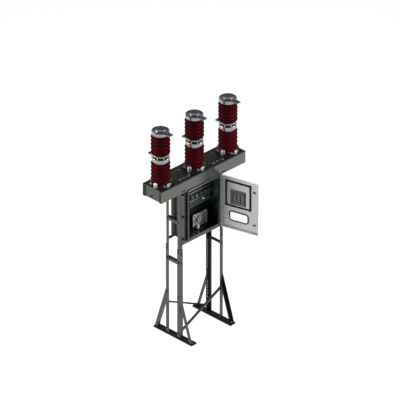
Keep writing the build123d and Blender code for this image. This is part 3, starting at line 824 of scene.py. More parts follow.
class BREAKER_OT_pole_bases(bpy.types.Operator):
    """Model the poles' foot castings on their square plates, with ribs and holding bolts"""

    bl_idname = "breaker.pole_bases"
    bl_label = "Pole Bases"

    def execute(self, context):
        sizes = context.scene.breaker_sizes
        low, high = box["pole_bases"]
        half, top = high.y, high.z - low.z
        plate_high, neck, rib_count = 0.012, 0.106, 8
        deck = low.z + plate_high
        bolt = hex_bolt()
        foot = plate(((0, 0, low.z), (half, 0, 0), (0, half, 0)), plate_high, 24.0, 2.0)
        # The pole plates take the lid's near-black, a painted shade of their upward faces.
        on_each_pole(foot, "pole_plate", "lid_paint_painted_shade")
        flange = (
            (0.133, -0.001), (0.1345, 0.001), (0.1345, 0.006), (0.131, 0.0095),
            (neck + 0.004, 0.0105), (neck, 0.0135),
        )
        profile = [(radius, plate_high + rise) for radius, rise in flange]
        profile += [(neck, top - 0.0015), (neck - 0.0015, top)]
        casting = [turned(profile, sizes.round_sides, low.z)]
        # Ribs from the neck down to the flange, and clamps outside them that hold the flange.
        rib_size, clamp_size = (0.03, 0.01, 0.015), (0.049, 0.04, 0.022)
        clamp_circle, clamp_high = 0.1425, clamp_size[2]
        clamps = []
        for turn in spins(rib_count, 0.5):
            rib = block((neck + 0.012, 0, low.z + 0.0185), rib_size, 3.0, 3)
            push_end(
                rib,
                lambda middle, normal: middle.x > neck + 0.02 and normal.x > 0.5,
                (0, 0, -0.004),
            )
            casting.append(freeze(rib, turn))
            clamp = block((clamp_circle, 0, deck + clamp_high / 2), clamp_size, 1.0)
            round_edges(clamp, lambda a, b: min(a.z, b.z) > deck + clamp_high - 0.002, 0.007)
            clamps.append(freeze(clamp, turn))
        on_each_pole(
            gather(casting), "pole_foot", "cast_aluminium", node="pole_bases"
        )
        on_each_pole(gather(clamps), "pole_clamps", "cast_aluminium")
        # One bolt in the flange between each two clamps, and one on each clamp.
        ring = []
        for offset, radius, rise, size in (
            (0.0, 0.1205, 0.0098, 1.05),
            (0.5, 0.147, clamp_high, 1.1),
        ):
            for turn in spins(rib_count, offset):
                ring.append(aim(turn @ Vector((radius, 0, deck + rise)), UP, size))
        on_each_pole(cluster(bolt, ring), "pole_foot_bolts", "zinc_plate")
        # Upright lining-up lugs outside the lowest shed, tall and short by turns.
        lug_circle, lug_thick, lug_wide = 0.149, 0.012, 0.056
        lugs, lug_bolts = [], []
        for degrees, tall in ((17, 0.078), (92, 0.056), (197, 0.078), (272, 0.056)):
            turn = Matrix.Rotation(math.radians(degrees), 4, "Z")
            middle = (lug_circle, 0, low.z + tall / 2)
            corners = (middle, (0, lug_wide / 2, 0), (0, 0, tall / 2))
            lugs.append(freeze(plate(corners, lug_thick, 12.0, 2.5), turn))
            spot = turn @ Vector((lug_circle + lug_thick - 0.001, 0, low.z + tall * 0.55))
            lug_bolts.append(aim(spot, turn @ Vector((1, 0, 0))))
        on_each_pole(gather(lugs), "pole_lugs", "galvanised_casting")
        on_each_pole(cluster(bolt, lug_bolts), "pole_lug_bolts", "zinc_plate")
        drop(bolt)
        return {"FINISHED"}


class BREAKER_OT_castings(bpy.types.Operator):
    """Model the housings between the insulators, the caps on top, and their flat terminals"""

    bl_idname = "breaker.castings"
    bl_label = "Housings and Caps"

    def execute(self, context):
        sides = context.scene.breaker_sizes.round_sides
        low = box["lower_insulators"][1].z
        ring_top = box["upper_insulators"][0].z - low
        housing = (
            (0.1, 0.0), (0.105, 0.001), (0.105, 0.022), (0.108, 0.0255), (0.127, 0.0262),
            (0.131, 0.0305), (0.131, 0.074), (0.126, 0.0805), (0.112, 0.081), (0.11, 0.0825),
            (0.11, ring_top - 0.0195), (0.112, ring_top - 0.018), (0.1255, ring_top - 0.0175),
            (0.128, ring_top - 0.015), (0.128, ring_top - 0.0035), (0.1245, ring_top),
            (0.097, ring_top),
        )
        crown = box["upper_insulators"][1].z
        cap_high = box["pole_caps"][1].z - crown
        band_top = cap_high - 0.012
        dish = band_top - 0.014
        cap = (
            (0.1, 0.0), (0.105, 0.001), (0.105, 0.0015), (0.108, 0.003), (0.1265, 0.0032),
            (0.1305, 0.0072), (0.1305, band_top - 0.004), (0.1265, band_top), (0.122, band_top),
            (0.12, band_top - 0.001), (0.104, dish), (0.101, dish - 0.0008),
            (0.093, dish - 0.0008), (0.09, dish + 0.0005), (0.069, cap_high - 0.001),
            (0.066, cap_high), (0.063, cap_high), (0.06, cap_high - 0.002),
            (0.012, cap_high - 0.006),
        )
        for profile, foot, name, node in (
            (housing, low, "pole_housing", "pole_housings"),
            (cap, crown, "pole_cap", "pole_caps"),
        ):
            made = turned(profile, sides, foot)
            on_each_pole(made, name, "cast_aluminium", node=node)
        # Studs that tie the housing's two flanges together, each with its nut.
        stud_count, stud_circle, stud_radius = 8, 0.1195, 0.0052
        stud_foot, stud_high = low + 0.0798, ring_top - 0.0974
        feet = [turn @ Vector((stud_circle, 0, stud_foot)) for turn in spins(stud_count, 0.5)]
        studs = [rod(foot, foot + UP * stud_high, stud_radius, 12) for foot in feet]
        on_each_pole(gather(studs), "housing_studs", "zinc_plate")
        bolt = hex_bolt()
        nuts = cluster(bolt, [aim(foot, UP, 0.78) for foot in feet])
        on_each_pole(nuts, "housing_nuts", "zinc_plate")
        drop(bolt)
        # A black lining in the housing's groove as painted shade, and the rubber collar that seals
        # the insulator above.
        groove_shade = (
            (0.109, 0.0815), (0.1145, 0.0825), (0.1155, 0.085), (0.1155, ring_top - 0.0215),
            (0.1145, ring_top - 0.0185), (0.109, ring_top - 0.018),
        )
        collar = (
            (0.0955, -0.001), (0.123, -0.001), (0.1255, 0.001), (0.1235, 0.004), (0.1, 0.012),
            (0.0985, 0.024), (0.0955, 0.025),
        )
        seals = gather([turned(groove_shade, sides, low), turned(collar, sides, low + ring_top)])
        on_each_pole(seals, "housing_collar_and_groove_shade", "foam_gasket", 50.0)
        # Flat terminals, drilled for four bolts each: in front on the caps, behind on the housings.
        bar_wide, bar_thick, hole_radius = 0.08, 0.018, 0.007
        for name, side, tip, level, root in (
            ("upper_terminal", -1, -box["pole_caps"][0].y, crown + band_top, 0.11),
            ("lower_terminal", 1, box["pole_housings"][1].y, low + 0.074, 0.112),
        ):
            middle = (0, side * (root + tip) / 2, level - bar_thick / 2)
            bar = block(middle, (bar_wide, tip - root, bar_thick), 1.5)
            round_edges(
                bar, lambda a, b: abs(a.z - b.z) > 0.01 and side * a.y > tip - 0.004, 0.007
            )
            cutters = []
            for x in (-0.02, 0.02):
                for y in (tip - 0.025, tip - 0.065):
                    spot = Vector((x, side * y, level))
                    cutters.append(rod(spot - UP * 0.03, spot + UP * 0.01, hole_radius, 20))
            on_each_pole(cut(bar, cutters), name, "milled_aluminium")
        return {"FINISHED"}


class BREAKER_OT_beam_fittings(bpy.types.Operator):
    """Add the beam's cover screws, clips, end bolts and earthing stud"""

    bl_idname = "breaker.beam_fittings"
    bl_label = "Beam Fittings"

    def execute(self, context):
        low, high = box["inspection_covers"]
        spacing = pole_places()[2]
        half = high.x - spacing / 2
        middle_y, deep = (low.y + high.y) / 2, high.y - low.y
        screws, clips, strips = [], [], []
        for centre in (-spacing / 2, spacing / 2):
            inset = half - 0.014
            spots = [
                (centre + share * inset, y)
                for share in (-1.0, -0.5, 0.0, 0.5, 1.0)
                for y in (low.y + 0.012, high.y - 0.012)
            ]
            spots += [
                (x, middle_y + share * deep)
                for share in (-0.33, 0.33)
                for x in (centre - inset, centre + inset)
            ]
            screws += [aim((x, y, high.z), UP) for x, y in spots]
            for share in (-0.62, 0.0, 0.62):
                middle = (centre + share * half, low.y - 0.006, high.z + 0.0015)
                clips.append(block(middle, (0.056, 0.02, 0.005), 1.5))
            # Sealing strip round the cover.
            across, along = (half + 0.005, 0, 0), (0, deep / 2 + 0.005, 0)
            corners = ((centre, middle_y, low.z), across, along)
            strips.append(ring_frame(corners, 0.012, 0.002, 8.0, 0.6))
        screw, bolt = pan_screw(), hex_bolt()
        scatter(screw, screws, "cover_screws", "zinc_plate")
        settle(gather(clips), "cover_clips", "zinc_plate")
        settle(gather(strips), "cover_seals", "foam_gasket")
        # Black strips as painted shadow: along the tops of the channels under the lid's edge, at
        # the corners by the end plates, and along each channel's foot over the cabinet.
        end_low, end_high = box["beam_end_plates"]
        beam_low, beam_high = box["beam_front_channel"][0], box["beam_rear_channel"][1]
        lid_top = box["beam_top_plate"][1].z
        cabinet_x, cabinet_wide = middle_of("cabinet_sides").x, span_of("cabinet_sides").x
        shadow_strips = []
        for y, side in ((beam_low.y, -1), (beam_high.y, 1)):
            middle = (0, y - side * 0.002, lid_top - 0.0085)
            shadow_strips.append(block(middle, (beam_high.x - beam_low.x, 0.009, 0.019), 1.5))
            for x, end in ((end_low.x, -1), (end_high.x, 1)):
                middle = (x + end * 0.003, y - side * 0.035, (beam_low.z + lid_top) / 2)
                shadow_strips.append(block(middle, (0.006, 0.03, lid_top - beam_low.z - 0.014), 1.0))
            middle = (cabinet_x, y - side * 0.0015, beam_low.z + 0.0092)
            shadow_strips.append(block(middle, (cabinet_wide + 0.09, 0.006, 0.0184), 1.0))
        settle(gather(shadow_strips), "beam_shadow_strips", "foam_gasket")
        bolts = []
        for side, x in ((-1, end_low.x), (1, end_high.x)):
            for y in (end_low.y + 0.03, end_high.y - 0.03):
                for z in (end_low.z + 0.045, end_high.z - 0.045):
                    bolts.append(aim((x, y, z), (side, 0, 0), 0.85))
        leg_reach = box["upper_legs_right"][1].x - 0.025
        for leg in (-leg_reach, leg_reach):
            for spread in (-0.018, 0.018):
                for y, side in ((beam_low.y, -1), (beam_high.y, 1)):
                    bolts.append(aim((leg + spread, y, beam_low.z + 0.03), (0, side, 0)))
        scatter(bolt, bolts, "beam_bolts", "phosphated_steel")
        spot = Vector((end_low.x, 0.022, end_low.z + 0.042))
        boss = [
            rod(spot, spot - Vector((depth, 0, 0)), radius, facets, bevel)
            for depth, radius, facets, bevel in ((0.006, 0.019, 24, 1.0), (0.012, 0.006, 12, 0.8))
        ]
        settle(gather(boss), "earthing_boss", "black_oxide")
        drop(screw, bolt)
        return {"FINISHED"}


class BREAKER_OT_stand(bpy.types.Operator):
    """Punch the legs' rows of adjusting holes and bolt the stand together"""

    bl_idname = "breaker.stand"
    bl_label = "Stand"

    def execute(self, context):
        sizes = context.scene.breaker_sizes
        bolt = hex_bolt()
        rail_top = box["foot_rails"][1].z
        # The angle's hole line lies 30 mm from its corner. The holes are open in the rear flange,
        # and in the front one a plug stands at every third place.
        gauge, lowest_hole = 0.03, 0.258
        plug_count, lowest_plug, plug_pitch = 5, 0.808, 3 * sizes.hole_pitch
        cleat_thick, tie_plate_thick, tie_plate_high = 0.006, 0.003, 0.043
        bolts, plugs, beads, cleats, cleat_bolts = [], [], [], [], []
        for side, name in ((-1, "left"), (1, "right")):
            out_x = Vector((side, 0, 0))
            node = f"lower_legs_{name}"
            low, high = box[node]
            outer_x = side * max(abs(low.x), abs(high.x))
            hole_x = outer_x - side * gauge
            cutters = []
            level = lowest_hole
            while level < high.z - 0.02:
                start, end = (hole_x, high.y - 0.02, level), (hole_x, high.y + 0.01, level)
                cutters.append(rod(start, end, sizes.hole_radius, 12))
                level += sizes.hole_pitch
            legs = cut(merged_copy(node), cutters)
            settle(legs, f"drilled_legs_{name}", "phosphated_steel", smooth=0)
            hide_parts(node)
            for step in range(plug_count):
                level = lowest_plug + step * plug_pitch
                start, end = (hole_x, low.y + 0.007, level), (hole_x, low.y - 0.002, level)
                plugs.append(rod(start, end, 0.009, 16, 0.8))
            knee_low, knee_high = box[f"knee_braces_{name}"]
            upper = box[f"upper_legs_{name}"]
            upper_x = side * max(abs(upper[0].x), abs(upper[1].x))
            tie_low, tie_high = box[f"side_ties_{name}"]
            for sign, y in ((-1, low.y), (1, high.y)):
                out_y = Vector((0, sign, 0))
                upper_y = sign * max(abs(upper[0].y), abs(upper[1].y))
                for z in (high.z - 0.077, high.z - 0.227):
                    bolts.append(aim((hole_x, y, z), out_y, 1.1))
                for z in (high.z - 0.052, high.z - 0.202):
                    bolts.append(aim((outer_x, y - sign * gauge, z), out_x, 1.1))
                for z in (knee_high.z - 0.05, 0.1):
                    bolts.append(aim((outer_x, y - sign * gauge, z), out_x))
                for z in (tie_low.z + 0.02, tie_high.z - 0.02):
                    reach = upper_x if z > high.z else outer_x
                    bolts.append(aim((reach, upper_y - sign * 0.026, z), out_x, 0.95))
                shelf = box["shelf_angles"][1].z - 0.025
                bolts.append(aim((upper_x - side * 0.026, upper_y, shelf), out_y))
                # Sealing bead where the upper leg comes out of the lower one.
                bead = high.z - 0.004
                beads.append(block((hole_x, y, bead), (0.059, 0.0016, 0.007), 0.4, 1))
                middle = (outer_x, y - sign * gauge, bead)
                beads.append(block(middle, (0.0016, 0.059, 0.007), 0.4, 1))
                # Cleat that ties the leg to the foot rail, with its bolt.
                cleat_y = sign * (abs(knee_low.y) - 0.0235)
                middle = (outer_x - side * 0.0285, cleat_y, rail_top + cleat_thick / 2)
                cleats.append(block(middle, (0.046, 0.044, cleat_thick), 1.2))
                cleat_bolts.append(aim((hole_x, cleat_y, rail_top + cleat_thick), UP, 0.9))
            # Plates bolted to the outside of the ties.
            plates = []
            outer = side * (max(abs(tie_low.x), abs(tie_high.x)) + tie_plate_thick / 2)
            long = tie_high.y - tie_low.y - 0.004
            for top in (tie_low.z + 0.025, tie_high.z - 0.015):
                foot = top - tie_plate_high
                size = (tie_plate_thick, long, tie_plate_high)
                tie_plate = block((outer, 0, (foot + top) / 2), size, 0.8)
                # The lower edge is turned out a little, as a drip edge.
                push_end(tie_plate, lambda middle, normal: middle.z < foot + 0.003, out_x * 0.002)
                plates.append(tie_plate)
            # The right side's plates take the darker coat, a painted shade.
            finish = "phosphated_steel" if side < 0 else "phosphate_painted_shade"
            settle(gather(plates), f"tie_plates_{name}", finish)
        scatter(bolt, bolts, "stand_bolts", "black_oxide")
        settle(gather(plugs), "hole_plugs", "phosphated_steel")
        settle(gather(beads), "leg_seams", "foam_gasket")
        settle(gather(cleats), "foot_cleats", "phosphated_steel")
        scatter(bolt, cleat_bolts, "cleat_bolts", "zinc_plate")
        # Bolts that hold the left strap to the leg behind it.
        strap = box["cabinet_straps"][0]
        spots = [strap + Vector((0.036, 0, rise)) for rise in (0.054, 0.423, 0.792)]
        screws = [aim(spot, FORWARD, 1.8) for spot in spots]
        scatter(bolt, screws, "strap_bolts", "black_oxide")
        drop(bolt)
        return {"FINISHED"}


class BREAKER_OT_cabinet(bpy.types.Operator):
    """Fit out the cabinet with its wiring ducts, relays and terminal blocks"""

    bl_idname = "breaker.cabinet"
    bl_label = "Cabinet"

    def execute(self, context):
        low, high = box["terminal_rows"]
        back = box["mounting_plate"][0].y
        floor = box["cabinet_floor"][0].z
        width = high.x - low.x
        middle = (low.x + high.x) / 2
        relay_level, block_level = floor + 0.558, floor + 0.428
        # Slotted wiring ducts: troughs with comb sides under a lid.
        ducts, teeth = [], []
        pitch, duct_deep, lid_thick = 0.02, 0.05, 0.004
        for z in (floor + 0.625, floor + 0.491):
            ducts.append(block((middle, back - 0.026, z), (width, duct_deep - 0.002, 0.024), 1.2))
            lid_y = back - duct_deep - lid_thick / 2
            ducts.append(block((middle, lid_y, z), (width, lid_thick, 0.028), 1.2))
            for step in range(int(width / pitch)):
                x = low.x + (step + 0.5) * pitch
                teeth.append(block((x, back - 0.036, z), (0.012, 0.028, 0.0285), 0.6, 1))
        ducts = settle(gather(ducts), "wiring_ducts", "pale_plastic")
        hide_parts("terminal_rows")
        settle(gather(teeth), "duct_teeth", "relay_plastic")
        rails = [
            block((middle, back - 0.004, z), (width, 0.008, 0.035), 0.8)
            for z in (relay_level, block_level)
        ]
        settle(gather(rails), "mounting_rails", "zinc_plate")

        def row(count, each):
            """The middles of things of one width that share the row from end to end."""
            first, last = low.x + each / 2, high.x - each / 2
            return [first + step / (count - 1) * (last - first) for step in range(count)]

        # Relays: a case with a stepped front, a round dial and a window. The middle one has a lamp.
        relay_count, relay_width, relay_deep, relay_step = 7, 0.062, 0.068, 0.008
        relay_size = (relay_width, relay_deep, 0.076)
        front = back - relay_deep - relay_step - 0.0005
        dial_at, window_at = relay_level + 0.011, relay_level - 0.02
        rings = ((0.0185, 0.0), (0.0185, 0.003), (0.0165, 0.0048), (0.0115, 0.0048), (0.01, 0.003))
        cases, windows, dials, lamps = [], [], [], []
        for step, x in enumerate(row(relay_count, relay_width)):
            case = block((x, back - relay_deep / 2, relay_level), relay_size, 2.0)
            cases.append(step_front(case, back - relay_deep + 0.008, 0.006, -relay_step))
            dials.append(freeze(turned(rings, 24), aim((x, front + 0.001, dial_at), FORWARD)))
            windows.append(block((x, front, window_at), (0.036, 0.003, 0.014), 0.8))
            if step == relay_count // 2:
                lamps.append(rod((x, front, dial_at), (x, front - 0.006, dial_at), 0.013, 20, 1))
        settle(gather(cases), "relay_cases", "relay_plastic")
        settle(gather(dials), "relay_dials", "pale_plastic")
        settle(gather(windows), "relay_windows", "black_plastic")
        settle(gather(lamps), "relay_lamp", "zinc_plate")
        # Terminal blocks, each with a clamp screw above and below its marking slot.
        block_count, block_width, block_deep, recess = 24, 0.019, 0.056, 0.004
        block_size = (block_width, block_deep, 0.074)
        blocks, clamps = [], []
        for x in row(block_count, block_width):
            body = block((x, back - block_deep / 2, block_level), block_size, 1.4, 1)
            blocks.append(step_front(body, back - block_deep + 0.006, 0.003, recess))
            for rise in (-0.023, 0.023):
                spot = Vector((x, back - block_deep + recess, block_level + rise))
                clamps.append(rod(spot, spot + FORWARD * 0.003, 0.0052, 10))
        settle(gather(blocks), "terminal_blocks", "relay_plastic")
        settle(gather(clamps), "terminal_clamps", "zinc_plate")
        # Cable duct down the left wall, its lid folded into ribs.
        wall_low, wall_high = box["cabinet_sides"]
        wall_z, wall_tall = middle_of("cabinet_sides").z, wall_high.z - wall_low.z
        duct_front, duct_rear = box["shelf_angles"][0].y, 0.152
        rib_pitch = 0.022
        ribs = []
        for step in range(int((duct_rear - duct_front) / rib_pitch)):
            y = duct_front + (step + 0.5) * rib_pitch
            deep = 0.035 if step % 2 else 0.03
            spot = (wall_low.x - deep / 2, y, wall_z)
            ribs.append(block(spot, (deep, rib_pitch, wall_tall - 0.004), 2.0))
        settle(gather(ribs), "side_cable_duct", "duct_paint")
        spot = (wall_low.x - 0.0225, duct_front - 0.003, wall_z)
        end_strip = block(spot, (0.043, 0.006, wall_tall - 0.006), 1.5)
        step_front(end_strip, duct_front, 0.004, 0.002)
        settle(end_strip, "cable_duct_end", "foam_gasket")
        # Signal lamp between the lower duct and the terminal blocks.
        bulge = ((0.013, 0.0), (0.013, 0.008), (0.011, 0.012), (0.007, 0.0155), (0.003, 0.017))
        glass = freeze(turned(bulge, 24), aim((0.173, back - 0.056, floor + 0.459), FORWARD))
        settle(glass, "signal_lamp", "lamp_glass")
        # Rubber edging round the opening, with black strips as painted shadow over the top under
        # the beam and down the left jamb, and a drip rail under it.
        lip = 0.032
        face, top = wall_low.y, wall_high.z
        wall_x, wall_wide = middle_of("cabinet_sides").x, wall_high.x - wall_low.x
        jamb = (wall_low.x + 0.0265, face - 0.001, wall_z)
        corners = upright(wall_low.x, wall_high.x, wall_low.z, wall_high.z, face - 0.0005, -lip)
        edging = [
            ring_frame(corners, 0.006, 0.003, 3.0),
            block((wall_x, face - 0.002, top - 0.0145), (wall_wide, 0.004, 0.029), 1.0),
            block(jamb, (0.011, 0.002, wall_tall - 0.068), 0.6),
        ]
        settle(gather(edging), "opening_edging_and_shadow", "foam_gasket")
        sill = block((wall_x, face - 0.0022, top - 0.0362), (wall_wide - 0.03, 0.0044, 0.0135), 1.5)
        round_edges(
            sill, lambda a, b: max(a.y, b.y) < face - 0.003 and a.z > top - 0.035, 0.002, 2
        )
        settle(sill, "opening_drip_rail", "cast_aluminium")
        return {"FINISHED"}


class BREAKER_OT_mechanism(bpy.types.Operator):
    """Model the spring mechanism on its cast bearing plate"""

    bl_idname = "breaker.mechanism"
    bl_label = "Mechanism"

    def execute(self, context):
        low, high = box["mechanism_plate"]
        face = low.y
        middle = (low + high) / 2
        half_x, half_z = (high.x - low.x) / 2, (high.z - low.z) / 2

        def on_plate(dx, dz):
            """A point on the bearing plate's face, measured from its middle."""
            return Vector((middle.x + dx, face, middle.z + dz))

        corners = upright(low.x, high.x, low.z, high.z, high.y)
        casting = [plate(corners, high.y - face, 12.0, 2.5)]
        for dx, dz, radius, depth in (
            (-0.122, 0.09, 0.012, 0.008),
            (0.052, 0.088, 0.018, 0.012),
            (-0.03, -0.088, 0.014, 0.01),
            (0.02, -0.074, 0.018, 0.01),
            (0.056, 0.02, 0.014, 0.014),
            (0.126, -0.09, 0.012, 0.01),
        ):
            foot = on_plate(dx, dz)
            casting.append(rod(foot, foot + FORWARD * depth, radius, 24, 2.0))
        rib_count = 4
        for step in range(rib_count):
            spot = on_plate(0.005, 0.03 + step * 0.048 - half_z) + FORWARD * 0.003
            casting.append(block(spot, (0.2, 0.006, 0.007), 2.0))
        casting = settle(gather(casting), "bearing_plate", "cast_plate")
        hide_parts("mechanism_plate")
        hub = middle_of("charging_wheel")
        hub.y = face
        on_hub = aim(hub, FORWARD)
        rim = (
            (0.0135, 0.008), (0.066, 0.008), (0.07, 0.0095), (0.07, 0.0165), (0.066, 0.018),
            (0.056, 0.018), (0.053, 0.015), (0.044, 0.015), (0.042, 0.018), (0.04, 0.028),
            (0.0375, 0.03), (0.026, 0.03), (0.024, 0.026), (0.014, 0.026),
        )
        wheel = [freeze(turned(rim, 48), on_hub)]
        tooth_count = 24
        for turn in spins(tooth_count):
            tooth = block((0.068, 0, 0.013), (0.01, 0.008, 0.009), 1.0, 1)
            wheel.append(freeze(tooth, on_hub @ turn))
        wheel = settle(gather(wheel), "charging_wheel_turned", "cast_plate")
        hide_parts("charging_wheel")
        shaft = rod(hub + FORWARD * 0.02, hub + FORWARD * 0.0285, 0.013, 24, 1.0)
        settle(shaft, "shaft_end", "black_oxide")
        # Cam beside the wheel: a dark crescent.
        cam = turned(((0.05, 0.0185), (0.053, 0.02), (0.053, 0.0245), (0.05, 0.026)), 40)
        freeze(cam, aim(hub + Vector((-0.008, 0, 0.003)), FORWARD))
        bite = rod(hub + Vector((0.006, 0.01, 0)), hub + Vector((0.006, -0.05, 0)), 0.0465, 40)
        settle(cut(cam, [bite]), "closing_cam", "black_oxide")
        # Closing spring: an open coil round its guide rod, between two seats.
        spring_low, spring_high = box["closing_spring"]
        centre = middle_of("closing_spring")
        coil_radius, wire = 0.0145, 0.0032
        turns, steps = 9, 18
        spring_foot, spring_top = spring_low.z + 0.012, spring_high.z - 0.012
        select_none()
        bpy.ops.mesh.primitive_circle_add(
            vertices=8,
            radius=wire,
            location=(centre.x + coil_radius, centre.y, spring_foot),
            rotation=(math.pi / 2, 0, 0),
        )
        coil = freeze(bpy.context.active_object)
        edit(coil)
        bpy.ops.mesh.select_mode(type="EDGE")
        bpy.ops.mesh.select_all(action="SELECT")
        rise = (spring_top - spring_foot) / (turns * steps)
        for step in range(turns * steps):
            grow_along((0, 0, rise))
            bpy.ops.transform.rotate(
                value=-math.tau / steps, orient_axis="Z", center_override=tuple(centre)
            )
        bpy.ops.mesh.edge_face_add()
        close_up(coil)
        coil = settle(coil, "closing_spring_coil", "cast_plate", 60.0)
        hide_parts("closing_spring")
        ends = [Vector((centre.x, centre.y, level)) for level in (spring_low.z, spring_high.z)]
        guide = [rod(*ends, 0.0075, 20, 0.6)]
        span = span_of("closing_spring")
        for spot in (ends[0] + UP * 0.005, ends[1] - UP * 0.005):
            guide.append(block(spot, (span.x, span.y, 0.01), 1.5))
        settle(gather(guide), "spring_guide", "cast_plate")
        motor_span, centre = span_of("charging_motor"), middle_of("charging_motor")
        radius, deep = motor_span.x / 2, motor_span.y
        motor = turned(
            (
                (radius - 0.004, 0.0), (radius, 0.003), (radius, deep * 0.3),
                (radius - 0.0015, deep * 0.32), (radius - 0.0015, deep * 0.7),
                (radius, deep * 0.72), (radius, deep - 0.004), (radius - 0.004, deep - 0.001),
                (0.012, deep - 0.001), (0.01, deep), (0.004, deep),
            ),
            36,
        )
        freeze(motor, aim((centre.x, box["charging_motor"][1].y, centre.z), FORWARD))
        motor = settle(motor, "charging_motor_case", "cast_plate")
        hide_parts("charging_motor")
        bolt = hex_bolt()
        inset = 0.018
        spots = [
            (dx, dz, 0.8)
            for dx in (inset - half_x, half_x - inset)
            for dz in (inset - half_z, 0.0, half_z - inset)
        ]
        inner = ((-0.06, 0.02), (-0.075, -0.05), (0.035, 0.045), (0.03, -0.05))
        spots += [(dx, dz, 0.7) for dx, dz in inner]
        placings = [aim(on_plate(dx, dz), FORWARD, size) for dx, dz, size in spots]
        scatter(bolt, placings, "mechanism_bolts", "zinc_plate")
        drop(bolt)
        return {"FINISHED"}


class BREAKER_OT_door(bpy.types.Operator):
    """Fit the door with its gaskets, window, slotted panel, latches and earthing stud"""

    bl_idname = "breaker.door"
    bl_label = "Door"

    def execute(self, context):
        pin = Vector(hinge["pos_m"])
        pin.z = box["door_panel"][0].z
        cabinet = box["cabinet_sides"]
        shut = Vector((cabinet[1].x - 0.003, cabinet[0].y - 0.005, pin.z))
        turn = Matrix.Rotation(math.radians(-hinge["range_deg"][0]), 4, "Z")
        corner = pin + turn @ (shut - pin)
        # Door frame of reference: X from hinge edge to free edge, -Y out of the inner face.
        placing = Matrix.Translation(corner) @ turn @ Matrix.Rotation(math.pi, 4, "Z")
        wide, high = 0.622, span_of("door_panel").z
        # Levels along Y: the inner face of the sheet, and its outer face.
        skin, outside = 0.0195, 0.0228

        def hang(pieces, name, finish):
            """Join pieces, put them on the open door and settle them on the door's body."""
            made = gather(pieces)
            made.matrix_world = placing @ made.matrix_world
            return settle(made, name, finish, body="door")

        # Left, right, bottom and top of the window and of the upper gasket.
        window = (0.139, wide - 0.188, 0.146, 0.286)
        upper = (0.063, wide - 0.135, 0.368, high - 0.068)
        margin = 0.015
        seal = ring_frame(upright(*window, skin, margin), margin + 0.005, 0.0075, 54.0)
        hang([seal], "window_seal", "black_plastic")
        frame_seal = ring_frame(upright(*upper, skin), 0.026, 0.009, 6.0)
        seals = hang([frame_seal], "door_seals", "foam_gasket")
        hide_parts("door_gaskets")
        pane = plate(upright(*window, skin - 0.002, 0.004), 0.004, 44.0, 0.4, 10)
        pane = hang([pane], "door_window", "toughened_glass")
        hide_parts("window_pane")
        # Outer sheet, coated like the cabinet, with the window's opening cut in it.
        outer = plate(upright(0, wide, 0, high, outside, -0.0003), 0.0022, 1.5, 0)
        cut(outer, [plate(upright(*window, 0.03), 0.02, 40.0, 0, 8)])
        hang([outer], "door_outer_sheet", "coated_sheet")
        # Plate inside the upper gasket, and on it the slotted panel.
        backing = plate(upright(*upper, skin, -0.032), 0.0025, 8.0)
        hang([backing], "door_backing_plate", "pale_door_paint")
        panel_inset = 0.087
        left, right = upper[0] + panel_inset, upper[1] - panel_inset
        bottom, top = upper[2] + 0.046, upper[3] - 0.139
        panel = plate(upright(left, right, bottom, top, skin), 0.014, 10.0, 2.0)
        centre = Vector(((left + right) / 2, skin, (bottom + top) / 2))
        slot_pitch, slot_length, slot_width = 0.062, 0.15, 0.024
        half = (slot_length - slot_width) / 2
        cutters, bars, shade_backs, knobs = [], [], [], []
        for step in (-1, 0, 1):
            x = centre.x + step * slot_pitch
            spot = Vector((x - 0.008, skin - 0.004, centre.z + 0.002))
            # A black back in each slot, as painted shade of the slot's depth.
            shade_backs.append(block(spot, (slot_width + 0.012, 0.002, slot_length + 0.004), 0.5))
            corners = (spot, (slot_width / 2 + 0.004, 0, 0), (0, 0, slot_length / 2))
            cutters.append(plate(corners, 0.03, 15.9, 0, 8))
            foot = spot + Vector((0.0085, -0.003, -half - 0.004))
            bars.append(rod(foot, foot + UP * (2 * half + 0.004), 0.008, 18, 3.0))
            spot = Vector((x - 0.004, skin - 0.008, centre.z - 0.068))
            knobs.append(rod(spot, spot + FORWARD * 0.01, 0.0085, 18, 1.5))
        cut(panel, cutters)
        panel = hang([panel], "slotted_plate", "texture_paint")
        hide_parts("slotted_panel")
        hang(bars, "slot_bars", "bar_paint")
        hang(shade_backs, "slot_painted_shade", "black_plastic")
        # A black strip down the panel's right edge, as painted shade of the panel's side.
        spot = (right - 0.012, skin - 0.0135, centre.z)
        strip = block(spot, (0.018, 0.008, top - bottom - 0.016), 2.0)
        hang(knobs + [strip], "panel_knobs_and_shade_strip", "black_plastic")
        # Latches: a barrel with a cam that points at the free edge, and its lock outside.
        latches, locks = [], []
        latch_x = wide - 0.089
        for z in (0.156, high - 0.161):
            spot = Vector((latch_x, skin, z))
            latches.append(rod(spot, spot + FORWARD * 0.0155, 0.009, 20, 1.5))
            cam = block(spot + Vector((0.008, -0.0125, -0.004)), (0.046, 0.005, 0.017), 2.0)
            latches.append(push_end(cam, lambda middle, normal: normal.x > 0.5, (0, 0, -0.009)))
            spot.y = outside - 0.0002
            locks.append(rod(spot, spot - FORWARD * 0.0042, 0.012, 24, 1.2))
            locks.append(block(spot - FORWARD * 0.0039, (0.003, 0.0016, 0.015), 0.5))
        cams = hang(latches, "door_latch_cams", "black_oxide")
        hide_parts("door_latches")
        hang(locks, "lock_barrels", "zinc_plate")
        stud = freeze(hex_bolt(), aim((0.068, skin, 0.13), FORWARD, 1.3))
        hang([stud], "door_earthing_stud", "zinc_plate")
        plug_x, plug_inset = 0.0125, 0.089
        plugs = [
            rod((plug_x, 0.0, z), (plug_x, -0.003, z), 0.0095, 18, 1.0)
            for z in (plug_inset, high - plug_inset)
        ]
        hang(plugs, "hinge_plugs", "black_plastic")
        return {"FINISHED"}


